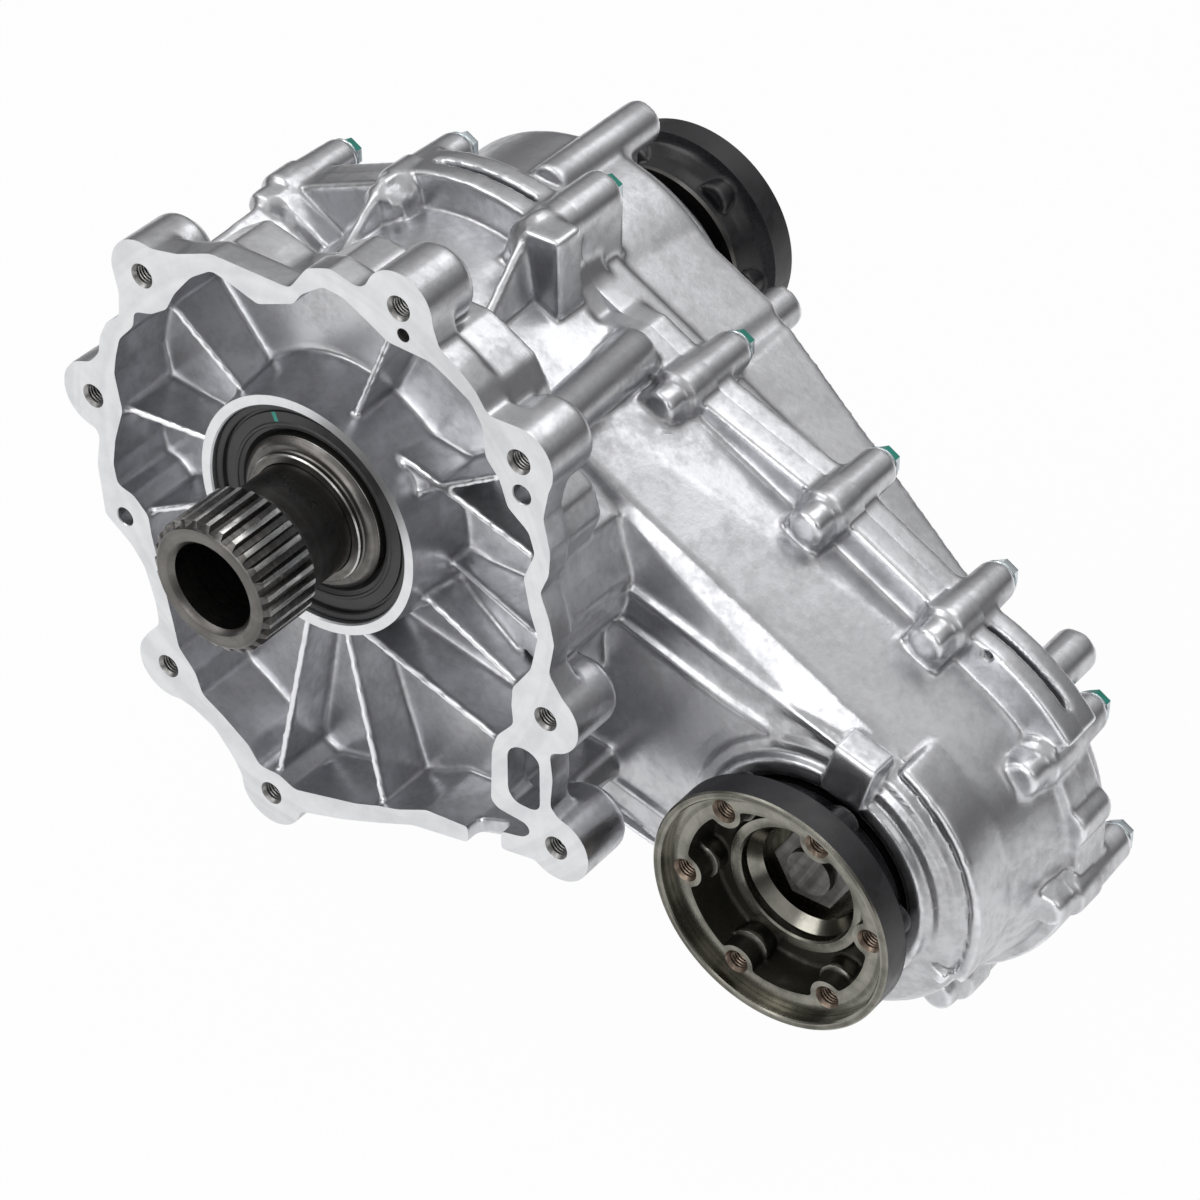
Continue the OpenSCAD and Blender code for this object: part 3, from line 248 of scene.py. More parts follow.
class Effects:
    """Surface effects that more than one finish uses, each one node group."""

    def __init__(self) -> None:
        """Build the groups."""
        self.skin = self.cast_skin()
        self.lathe = self.turning_marks()
        self.relief = self.relief_wear_and_painted_light()
        self.mottle = self.film_mottle()

    def cast_skin(self) -> bpy.types.NodeTree:
        """Fine grain, flow marks and waviness of a die-cast skin.

        Returns:
            The node group.
        """
        settings = {"Grain": 900.0, "Flow": 60.0}
        tree, sheet, start, end = new_group("cast_skin", settings, ("Height", "Tone", "Wave"))
        place, grain, flow = start.outputs["Vector"], start.outputs["Grain"], start.outputs["Flow"]
        fine = sheet.noise(Vector=place, Scale=grain, Detail=3.0, Roughness=0.6)
        wide = sheet.noise(Vector=place, Scale=flow, Detail=4.0, Roughness=0.55, Distortion=0.6)
        slow = sheet.noise(Vector=place, Scale=sheet.math("MULTIPLY", flow, 0.32), Detail=2.0)
        middle = sheet.noise(Vector=place, Scale=sheet.math("MULTIPLY", flow, 4.5), Detail=3.0, Roughness=0.65)
        height = sheet.blend((fine, 0.25), (middle, 0.4), (wide, 0.5))
        tone = sheet.blend((wide, 0.45), (slow, 0.25), (middle, 0.3))
        tree.links.new(height, end.inputs["Height"])
        tree.links.new(sheet.band(tone, 0.39, 0.64), end.inputs["Tone"])
        tree.links.new(slow, end.inputs["Wave"])
        return tree

    def turning_marks(self) -> bpy.types.NodeTree:
        """Fine rings left by a lathe or a milling head around the Y axis.

        Returns:
            The node group.
        """
        tree, sheet, start, end = new_group("turning_marks", {"Pitch": 0.0004}, ("Height", "Tone"))
        split = sheet.add("ShaderNodeSeparateXYZ", Vector=start.outputs["Vector"])
        flat = sheet.add("ShaderNodeCombineXYZ", X=split.outputs[0], Z=split.outputs[2])
        radius = sheet.add("ShaderNodeVectorMath", operation="LENGTH", I0=flat.outputs[0]).outputs["Value"]
        along = sheet.math("ADD", radius, split.outputs[1])
        turns = sheet.math("DIVIDE", along, start.outputs["Pitch"])
        ring = sheet.noise(noise_dimensions="1D", W=turns, Scale=1.0, Detail=2.0, Roughness=0.7)
        broad = sheet.noise(noise_dimensions="1D", W=turns, Scale=0.09, Detail=2.0)
        tree.links.new(ring, end.inputs["Height"])
        tree.links.new(sheet.band(broad, 0.38, 0.62), end.inputs["Tone"])
        return tree

    def relief_wear_and_painted_light(self) -> bpy.types.NodeTree:
        """Masks of edges lightened as rubbed wear and painted highlight, and of hollows darkened as painted shade,
        from the mesh's relief attribute.

        Returns:
            The node group.
        """
        tree, sheet, start, end = new_group("relief_wear_and_painted_light", {"Scale": 160.0}, ("Edge wear and painted highlight", "Hollow painted shade"))
        relief = sheet.add("ShaderNodeAttribute", attribute_name="relief").outputs["Fac"]
        breakup = sheet.noise(Vector=start.outputs["Vector"], Scale=start.outputs["Scale"], Detail=3.0)
        rough = sheet.math("MULTIPLY", sheet.math("SUBTRACT", breakup, 0.5), 0.35)
        # The first mask lightens convex places as wear and painted highlight; the second darkens concave places as
        # painted shade.
        tree.links.new(sheet.band(sheet.math("ADD", relief, rough), 0.12, 0.5), end.inputs["Edge wear and painted highlight"])
        tree.links.new(sheet.band(sheet.math("SUBTRACT", rough, relief), 0.1, 0.55), end.inputs["Hollow painted shade"])
        return tree

    def film_mottle(self) -> bpy.types.NodeTree:
        """Uneven tint of oil, plating or handling.

        Returns:
            The node group.
        """
        tree, sheet, start, end = new_group("film_mottle", {"Scale": 90.0}, ("Tone", "Speck"))
        place, scale = start.outputs["Vector"], start.outputs["Scale"]
        cloud = sheet.noise(Vector=place, Scale=scale, Detail=5.0, Roughness=0.6, Distortion=0.3)
        speck = sheet.noise(Vector=place, Scale=sheet.math("MULTIPLY", scale, 9.0), Detail=2.0)
        tree.links.new(sheet.band(cloud, 0.35, 0.66), end.inputs["Tone"])
        tree.links.new(sheet.band(speck, 0.55, 0.75), end.inputs["Speck"])
        return tree


EFFECTS = Effects()


@dataclass(frozen=True)
class Finish:
    """A surface finish: its name, colours and gloss.

    Attributes:
        name: The material's name.
        colour: Main colour, linear.
        shade: Colour of the mottled places, and in cast finishes also of the hollows' painted shade.
        roughness: Roughness of the main surface.
        shade_roughness: Roughness of the mottled places.
        metallic: 1 for bare metal, 0 for paint and rubber.
        bump: Depth of the texture in metres.
        centre: Axis of turning marks, [x, z] in millimetres.
    """

    name: str
    colour: Triple
    shade: Triple
    roughness: float = 0.4
    shade_roughness: float = 0.5
    metallic: float = 1.0
    bump: float = 0.0001
    centre: Point = INPUT_AXIS

    def start(self) -> tuple[bpy.types.Material, Sheet, bpy.types.Node, bpy.types.NodeSocket]:
        """A new material with its shader and centred coordinates.

        Returns:
            The material, its sheet, the shader node and the coordinates' socket.
        """
        material = bpy.data.materials.new(self.name)
        material.use_nodes = True
        tree = material.node_tree
        tree.nodes.clear()
        sheet = Sheet(tree)
        output = sheet.add("ShaderNodeOutputMaterial")
        shader = sheet.add("ShaderNodeBsdfPrincipled")
        shader.inputs["Metallic"].default_value = self.metallic
        tree.links.new(shader.outputs[0], output.inputs[0])
        place = sheet.add("ShaderNodeTexCoord").outputs["Object"]
        to_axis = (-self.centre[0] * MM, 0.0, -self.centre[1] * MM)
        moved = sheet.add("ShaderNodeMapping", Vector=place, Location=to_axis)
        return material, sheet, shader, moved.outputs[0]

    def dress(self, sheet: Sheet, shader: bpy.types.Node, tone: object, height: object, edge: object = None) -> None:
        """Feed colour, roughness and bump from masks.

        Args:
            sheet: The material's sheet.
            shader: The shader node.
            tone: Mask of the mottled places, and in cast finishes also of the hollows' painted shade.
            height: Height of the texture from 0 to 1.
            edge: Mask of edges lightened as rubbed wear and painted highlight, if any.
        """
        colour = sheet.mix(tone, self.colour, self.shade)
        if edge is not None:
            # Lighter colour for edges: rubbed wear and painted highlight.
            bright = tuple(min(1.0, c * 1.35 + 0.04) for c in self.colour)
            colour = sheet.mix(edge, colour, bright)
        rough = sheet.band(tone, 0.0, 1.0, self.roughness, self.shade_roughness)
        sheet.tree.links.new(colour, shader.inputs["Base Color"])
        sheet.tree.links.new(rough, shader.inputs["Roughness"])
        bump = sheet.add("ShaderNodeBump", Height=height, Distance=self.bump, Strength=1.0)
        sheet.tree.links.new(bump.outputs[0], shader.inputs["Normal"])

    def material(self) -> bpy.types.Material:
        """Build the finish with an oily or handled mottle.

        Returns:
            The material.
        """
        material, sheet, shader, place = self.start()
        film = sheet.effect(EFFECTS.mottle, Vector=place)
        # Edges with a relief attribute lighten as rubbed wear and painted highlight.
        self.dress(sheet, shader, film["Tone"], film["Speck"], sheet.effect(EFFECTS.relief, Vector=place)["Edge wear and painted highlight"])
        return material


@dataclass(frozen=True)
class CastFinish(Finish):
    """Die-cast or sand-cast skin: grain, flow marks, waves, edges lightened as rubbed wear and painted highlight,
    hollows darkened as painted shade.

    Attributes:
        grain: Grains to the metre.
        flow: Flow marks to the metre.
        wave: Depth of the slow waves in metres.
    """

    grain: float = 900.0
    flow: float = 60.0
    wave: float = 0.0012

    def material(self) -> bpy.types.Material:
        """Build the cast finish.

        Returns:
            The material.
        """
        material, sheet, shader, place = self.start()
        skin = sheet.effect(EFFECTS.skin, Vector=place, Grain=self.grain, Flow=self.flow)
        wear_and_painted_light = sheet.effect(EFFECTS.relief, Vector=place)
        # Hollows take the shade colour as painted shade; edges lighten as rubbed wear and painted highlight.
        tone = sheet.math("MAXIMUM", sheet.math("MULTIPLY", skin["Tone"], 0.75), wear_and_painted_light["Hollow painted shade"])
        height = sheet.math("ADD", skin["Height"], sheet.math("MULTIPLY", skin["Wave"], self.wave / self.bump))
        self.dress(sheet, shader, tone, height, wear_and_painted_light["Edge wear and painted highlight"])
        return material


@dataclass(frozen=True)
class TurnedFinish(Finish):
    """Machined metal with fine rings around an axis.

    Attributes:
        pitch: Distance of the rings in metres.
    """

    pitch: float = 0.0004

    def material(self) -> bpy.types.Material:
        """Build the machined finish.

        Returns:
            The material.
        """
        material, sheet, shader, place = self.start()
        marks = sheet.effect(EFFECTS.lathe, Vector=place, Pitch=self.pitch)
        film = sheet.effect(EFFECTS.mottle, Vector=place)
        tone = sheet.math("MULTIPLY", sheet.math("ADD", marks["Tone"], film["Tone"]), 0.5)
        self.dress(sheet, shader, tone, marks["Height"])
        return material


@dataclass(frozen=True)
class Finishes:
    """Every finish of the transfer case: main colour, colour of the mottle and of painted shade in hollows, their
    roughness.
    """

    cast: Finish = CastFinish(
        "cast aluminium skin", (0.64, 0.643, 0.666), (0.415, 0.416, 0.432), 0.29, 0.43, bump=0.00014, wave=0.0005,
    )
    milled: Finish = TurnedFinish(
        "milled aluminium", (0.86, 0.865, 0.88), (0.74, 0.75, 0.77), 0.36, 0.42, bump=0.00002, pitch=0.0009,
    )
    bored: Finish = TurnedFinish(
        "bored aluminium", (0.66, 0.665, 0.68), (0.50, 0.51, 0.53), 0.32, 0.42, bump=0.00003,
    )
    thread: Finish = TurnedFinish(
        "tapped thread", (0.40, 0.395, 0.39), (0.20, 0.198, 0.195), 0.30, 0.45, bump=0.00002,
    )
    rust: Finish = TurnedFinish(
        "tapped steel thread", (0.30, 0.235, 0.185), (0.13, 0.10, 0.08), 0.34, 0.5, bump=0.00002,
    )
    zinc: Finish = Finish("bright zinc plate", (0.72, 0.78, 0.80), (0.55, 0.62, 0.66), 0.22, 0.34, bump=0.00002)
    steel: Finish = TurnedFinish(
        "ground bearing steel", (0.62, 0.63, 0.65), (0.45, 0.46, 0.48), 0.20, 0.30, bump=0.00001,
    )
    oiled: Finish = TurnedFinish(
        "oiled dark steel", (0.16, 0.155, 0.15), (0.075, 0.07, 0.066), 0.26, 0.40, bump=0.00002,
    )
    ground: Finish = TurnedFinish(
        "ground collar steel", (0.20, 0.19, 0.18), (0.10, 0.094, 0.088), 0.27, 0.40, bump=0.00002,
    )
    gear: Finish = TurnedFinish(
        "hardened gear steel", (0.34, 0.345, 0.36), (0.22, 0.22, 0.24), 0.30, 0.42, bump=0.00002,
    )
    rubber: Finish = Finish(
        "moulded seal rubber", (0.022, 0.022, 0.024), (0.035, 0.034, 0.036), 0.36, 0.5, metallic=0.0, bump=0.00003,
    )
    brass: Finish = TurnedFinish("washer brass", (0.66, 0.50, 0.24), (0.5, 0.36, 0.17), 0.30, 0.42, bump=0.00001)
    paint: Finish = Finish(
        "satin black paint", (0.014, 0.014, 0.016), (0.024, 0.024, 0.027), 0.34, 0.46, metallic=0.0, bump=0.00003,
    )
    painted_cast: Finish = CastFinish(
        "black paint on sand casting", (0.010, 0.010, 0.012), (0.020, 0.020, 0.023), 0.24, 0.40,
        metallic=0.0, bump=0.0001, wave=0.0009,
    )
    bare_cast: Finish = CastFinish(
        "bare sand casting", (0.13, 0.127, 0.11), (0.045, 0.044, 0.038), 0.36, 0.52, bump=0.00016,
    )
    bare_turned: Finish = TurnedFinish(
        "turned bare steel", (0.31, 0.30, 0.26), (0.12, 0.118, 0.10), 0.17, 0.30, bump=0.00002, centre=OUTPUT_AXIS,
    )
    rear_turned: Finish = TurnedFinish(
        "turned bare steel, rear flange", (0.31, 0.30, 0.26), (0.12, 0.118, 0.10), 0.17, 0.30, bump=0.00002,
    )
    # Bright steel for spline crests, a ground finish and painted highlight, and for the collar's chamfers, painted
    # highlight lines.
    crest_and_painted_highlight: Finish = Finish("bright ground crest and painted highlight", (0.62, 0.62, 0.60), (0.40, 0.40, 0.38), 0.18, 0.30, bump=0.00001)
    mark: Finish = Finish(
        "green paint mark", (0.02, 0.26, 0.20), (0.03, 0.34, 0.27), 0.4, 0.5, metallic=0.0, bump=0.00002,
    )


class Palette:
    """The finishes as materials, each built once and kept under its finish's name."""

    def __init__(self, finishes: Finishes) -> None:
        """Build every finish.

        Args:
            finishes: The finishes to build.
        """
        for finish in fields(finishes):
            setattr(self, finish.name, getattr(finishes, finish.name).material())

    def by_slot(self, slot: Slot) -> bpy.types.Material:
        """The material of a slot's untouched pieces.

        Args:
            slot: The record's slot.

        Returns:
            The material.
        """
        return {
            Slot.CAST: self.cast, Slot.ZINC: self.zinc, Slot.BEARING: self.steel,
            Slot.DARK: self.oiled, Slot.GROUND: self.ground, Slot.GEAR: self.gear,
            Slot.RUBBER: self.rubber, Slot.BRASS: self.brass, Slot.PAINT: self.paint,
        }[slot]


def applied(obj: bpy.types.Object) -> bpy.types.Object:
    """Apply an object's modifiers to its mesh.

    Args:
        obj: The object.

    Returns:
        The same object, without modifiers.
    """
    bpy.context.view_layer.update()
    shape = obj.evaluated_get(bpy.context.evaluated_depsgraph_get())
    mesh = bpy.data.meshes.new_from_object(shape)
    old = obj.data
    obj.modifiers.clear()
    obj.data = mesh
    mesh.name = obj.name
    bpy.data.meshes.remove(old)
    return obj


def to_object(name: str, shape: bmesh.types.BMesh) -> bpy.types.Object:
    """Turn a bmesh in millimetres into a linked object in metres.

    Args:
        name: The object's name.
        shape: The bmesh, which is freed.

    Returns:
        The object.
    """
    bmesh.ops.scale(shape, vec=(MM, MM, MM), verts=shape.verts)
    mesh = bpy.data.meshes.new(name)
    shape.to_mesh(mesh)
    shape.free()
    obj = bpy.data.objects.new(name, mesh)
    bpy.context.scene.collection.objects.link(obj)
    return obj


def lathe(
    shape: bmesh.types.BMesh, profile: Sequence[Point], at: Point = INPUT_AXIS, steps: int = 96, slot: int = 0,
) -> list[bmesh.types.BMVert]:
    """Spin a closed profile of (radius, y) points about the Y axis.

    Args:
        shape: The bmesh to add to.
        profile: Points of the outline, in order.
        at: The axis, [x, z] in millimetres.
        steps: Steps round the axis.
        slot: Material index of the new faces.

    Returns:
        The new vertices.
    """
    before = set(shape.verts)
    points = [shape.verts.new((at[0] + r, y, at[1])) for r, y in profile]
    edges = [shape.edges.new((a, b)) for a, b in zip(points, points[1:] + points[:1])]
    bmesh.ops.spin(
        shape, geom=points + edges, cent=(at[0], 0.0, at[1]), axis=(0.0, 1.0, 0.0),
        angle=math.tau, steps=steps, use_merge=True, use_duplicate=False,
    )
    fresh = [v for v in shape.verts if v not in before]
    bmesh.ops.remove_doubles(shape, verts=fresh, dist=0.0005)
    fresh = [v for v in shape.verts if v not in before]
    faces = list({f for v in fresh for f in v.link_faces})
    bmesh.ops.recalc_face_normals(shape, faces=faces)
    for face in faces:
        face.material_index = slot
    return fresh


def rod(shape: bmesh.types.BMesh, radius: float, y0: float, y1: float, at: Point, steps: int = 48) -> None:
    """Add a solid bar along Y.

    Args:
        shape: The bmesh to add to.
        radius: The bar's radius.
        y0: Its start.
        y1: Its end.
        at: Its axis, [x, z].
        steps: Sides.
    """
    turn = Matrix.Rotation(-math.pi / 2, 4, "X")
    place = Matrix.Translation((at[0], (y0 + y1) / 2, at[1])) @ turn
    bmesh.ops.create_cone(
        shape, cap_ends=True, segments=steps, radius1=radius, radius2=radius, depth=y1 - y0, matrix=place,
    )


def block(shape: bmesh.types.BMesh, low: Triple, high: Triple, slot: int = 0) -> None:
    """Add a box from one corner to the other.

    Args:
        shape: The bmesh to add to.
        low: Lowest corner.
        high: Highest corner.
        slot: Material index of the new faces.
    """
    size = Vector(high) - Vector(low)
    place = Matrix.Translation((Vector(low) + Vector(high)) / 2) @ Matrix.Diagonal((*size, 1.0))
    made = bmesh.ops.create_cube(shape, size=1.0, matrix=place)
    for face in {f for v in made["verts"] for f in v.link_faces}:
        face.material_index = slot


def two_circle_hull(shape: bmesh.types.BMesh, sizes: Sequence[tuple[float, float, float]], steps: int = 72) -> None:
    """Add the hull of two discs, one on each shaft's axis, at each of several stations.

    Args:
        shape: The bmesh to add to.
        sizes: (y, radius on the input axis, radius on the output axis) of each station.
        steps: Points to a circle.
    """
    verts = []
    for y, r_input, r_output in sizes:
        for radius, at in ((r_input, INPUT_AXIS), (r_output, OUTPUT_AXIS)):
            for k in range(steps):
                angle = math.tau * k / steps
                verts.append(shape.verts.new((at[0] + radius * math.cos(angle), y, at[1] + radius * math.sin(angle))))
    made = bmesh.ops.convex_hull(shape, input=verts)
    inside = [v for v in made["geom_interior"] if isinstance(v, bmesh.types.BMVert)]
    bmesh.ops.delete(shape, geom=inside, context="VERTS")


def boolean(target: bpy.types.Object, cutter: bpy.types.Object, operation: str = "DIFFERENCE") -> None:
    """Cut or join a shape with another and drop the other.

    Args:
        target: The shape that is changed.
        cutter: The other shape.
        operation: DIFFERENCE, UNION or INTERSECT.
    """
    modifier = target.modifiers.new("machining", "BOOLEAN")
    modifier.operation = operation
    modifier.object = cutter
    modifier.solver = "MANIFOLD"
    applied(target)
    bpy.data.objects.remove(cutter)


def relief_of(mesh: bpy.types.Mesh, reach: float, rounds: int) -> None:
    """Store how far each point stands out of its surroundings, for edge wear, painted highlights on edges and painted
    shade in hollows.

    Args:
        mesh: The mesh.
        reach: Curvature that counts as a full edge, in 1/metre.
        rounds: Times that the values are smoothed.
    """
    count = len(mesh.vertices)
    place = np.empty(count * 3, np.float32)
    normal = np.empty(count * 3, np.float32)
    mesh.vertices.foreach_get("co", place)
    mesh.vertex_normals.foreach_get("vector", normal)
    place, normal = place.reshape(-1, 3), normal.reshape(-1, 3)
    ends = np.empty(len(mesh.edges) * 2, np.int32)
    mesh.edges.foreach_get("vertices", ends)
    a, b = ends.reshape(-1, 2).T
    step = place[b] - place[a]
    length = np.maximum((step ** 2).sum(1), 1e-12)
    bend_a = -(step * normal[a]).sum(1) / length * 2
    bend_b = (step * normal[b]).sum(1) / length * 2
    total, share = np.zeros(count), np.zeros(count)
    for index, bend in ((a, bend_a), (b, bend_b)):
        np.add.at(total, index, bend)
        np.add.at(share, index, 1.0)
    value = np.clip(total / np.maximum(share, 1.0) / reach, -1.5, 1.5)
    for _ in range(rounds):
        total = np.zeros(count)
        np.add.at(total, a, value[b])
        np.add.at(total, b, value[a])
        value = 0.5 * value + 0.5 * total / np.maximum(share, 1.0)
    attribute = mesh.attributes.new("relief", "FLOAT", "POINT")
    attribute.data.foreach_set("value", value.astype(np.float32))


def set_materials(obj: bpy.types.Object, materials: Iterable[bpy.types.Material]) -> None:
    """Give a piece its materials and keep its faces' indices.

    Args:
        obj: The piece.
        materials: Materials in the order of the face indices.
    """
    mesh = obj.data
    slots = np.zeros(len(mesh.polygons), np.int32)
    mesh.polygons.foreach_get("material_index", slots)
    mesh.materials.clear()
    for material in materials:
        mesh.materials.append(material)
    mesh.polygons.foreach_set("material_index", slots)


def finished(
    obj: bpy.types.Object, materials: Iterable[bpy.types.Material], body: Body, node: str,
) -> bpy.types.Object:
    """Shade a piece, give it its materials and tie it to its body.

    Args:
        obj: The piece.
        materials: Materials in the order of the face indices.
        body: The body that it rides on.
        node: The construction node that it replaces.

    Returns:
        The piece.
    """
    set_materials(obj, materials)
    obj.data.shade_smooth()
    obj.data.set_sharp_from_angle(angle=math.radians(CREASE))
    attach(obj, body.value)
    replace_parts(obj, node)
    log.info("%s: %d faces on %s", obj.name, len(obj.data.polygons), body.value)
    return obj


@dataclass
class PhotoCamera:
    """The camera, standing where the photograph was taken from.

    Attributes:
        azimuth: Direction that it looks from, in degrees from -Y towards +X.
        elevation: Height of the view, in degrees.
        lens: Focal length on a 36 mm sensor.
        place: Where it stands, in millimetres.
    """

    azimuth: float = 36.37
    elevation: float = 37.74
    lens: float = 117.86
    place: Triple = (896.95, -1007.03, 994.43)

    def build(self) -> bpy.types.Object:
        """Make the camera and set it as the scene's.

        Returns:
            The camera.
        """
        data = bpy.data.cameras.new("photo_camera")
        data.lens = self.lens
        data.sensor_width = 36.0
        camera = bpy.data.objects.new("photo_camera", data)
        a, e = math.radians(self.azimuth), math.radians(self.elevation)
        back = Vector((math.sin(a) * math.cos(e), -math.cos(a) * math.cos(e), math.sin(e)))
        camera.rotation_mode = "QUATERNION"
        camera.rotation_quaternion = (-back).to_track_quat("-Z", "Y")
        camera.location = Vector(self.place) * MM
        bpy.context.scene.collection.objects.link(camera)
        bpy.context.scene.camera = camera
        return camera


@dataclass
class Studio:
    """A pale floor, a white room and three soft lamps.

    Attributes:
        floor_drop: Gap between the part's lowest point and the floor, in metres.
        white: Strength of the white that camera and mirrors see.
        fill: Strength of the light from all round.
        horizon: Strength of the room's walls as mirrors see them.
        glow: Share of white that mirrors see in the floor.
        side_glow: The same, far out on the +X side.
    """

    floor_drop: float = 0.0005
    white: float = 0.64
    fill: float = 0.36
    horizon: float = 0.07
    glow: float = 0.78
    side_glow: float = 0.15

    def build(self) -> None:
        """Make the floor, the world and the lamps."""
        scene = bpy.context.scene
        scene.view_settings.view_transform = "Standard"
        self.room()
        self.floor()
        self.lamp("key_lamp", (-0.9, -1.0, 1.5), 1.2, 9.0)
        self.lamp("front_lamp", (0.1, -1.9, 0.5), 1.3, 13.0)
        self.lamp("side_lamp", (1.7, -0.3, 0.9), 0.9, 1.6)
        self.lamp("top_lamp", (0.3, 0.9, 1.6), 1.1, 5.5)

    def room(self) -> None:
        """White for the camera and for mirrors, a softer level for everything else."""
        world = bpy.data.worlds.new("studio")
        bpy.context.scene.world = world
        world.use_nodes = True
        tree = world.node_tree
        tree.nodes.clear()
        sheet = Sheet(tree)
        output = sheet.add("ShaderNodeOutputWorld")
        rays = sheet.add("ShaderNodeLightPath")
        camera = rays.outputs["Is Camera Ray"]
        seen = sheet.math("MAXIMUM", camera, rays.outputs["Is Glossy Ray"])
        seen = sheet.math("MAXIMUM", seen, rays.outputs["Is Transmission Ray"])
        way = sheet.add("ShaderNodeSeparateXYZ", Vector=sheet.add("ShaderNodeTexCoord").outputs["Generated"])
        sky = sheet.band(way.outputs[2], 0.0, 0.8, self.horizon, self.white)
        bright = sheet.math("MAXIMUM", sky, sheet.math("MULTIPLY", camera, 1.05))
        above_fill = sheet.math("MULTIPLY", seen, sheet.math("SUBTRACT", bright, self.fill))
        strength = sheet.math("ADD", above_fill, self.fill)
        light = sheet.add("ShaderNodeBackground", Strength=strength, Color=(1.0, 1.0, 1.0, 1.0))
        tree.links.new(light.outputs[0], output.inputs[0])

    def floor(self) -> None:
        """A wide pale floor under the part."""
        shape = bmesh.new()
        low, _ = CAD_BOX
        bmesh.ops.create_grid(shape, x_segments=1, y_segments=1, size=6000.0)
        bmesh.ops.translate(shape, verts=shape.verts, vec=(0.0, 0.0, (low.z - self.floor_drop) / MM))
        floor = to_object("studio_floor", shape)
        material = bpy.data.materials.new("pale floor")
        material.use_nodes = True
        tree = material.node_tree
        tree.nodes.clear()
        sheet = Sheet(tree)
        output = sheet.add("ShaderNodeOutputMaterial")
        plain = sheet.add("ShaderNodeBsdfDiffuse", Color=(0.86, 0.86, 0.86, 1.0))
        glow = sheet.add("ShaderNodeEmission", Color=(1.0, 1.0, 1.0, 1.0), Strength=1.0)
        rays = sheet.add("ShaderNodeLightPath")
        share = sheet.math("MULTIPLY", rays.outputs["Is Camera Ray"], 0.97)
        across = sheet.add("ShaderNodeSeparateXYZ", Vector=sheet.add("ShaderNodeTexCoord").outputs["Object"])
        mirrored = sheet.band(across.outputs[0], 0.45, 1.2, self.glow, self.side_glow)
        share = sheet.math("MAXIMUM", share, sheet.math("MULTIPLY", rays.outputs["Is Glossy Ray"], mirrored))
        both = sheet.add("ShaderNodeMixShader", I0=share, I1=plain.outputs[0], I2=glow.outputs[0])
        tree.links.new(both.outputs[0], output.inputs[0])
        floor.data.materials.append(material)

    def lamp(self, name: str, place: Triple, size: float, power: float) -> None:
        """Add a soft square lamp that points at the part.

        Args:
            name: The lamp's name.
            place: Where it hangs, in metres.
            size: Its side in metres.
            power: Its power in watts.
        """
        data = bpy.data.lights.new(name, "AREA")
        data.shape = "SQUARE"
        data.size = size
        data.energy = power
        lamp = bpy.data.objects.new(name, data)
        target = (Vector(CAD_BOX[0]) + Vector(CAD_BOX[1])) / 2
        lamp.location = place
        lamp.rotation_mode = "QUATERNION"
        lamp.rotation_quaternion = (target - Vector(place)).to_track_quat("-Z", "Y")
        bpy.context.scene.collection.objects.link(lamp)


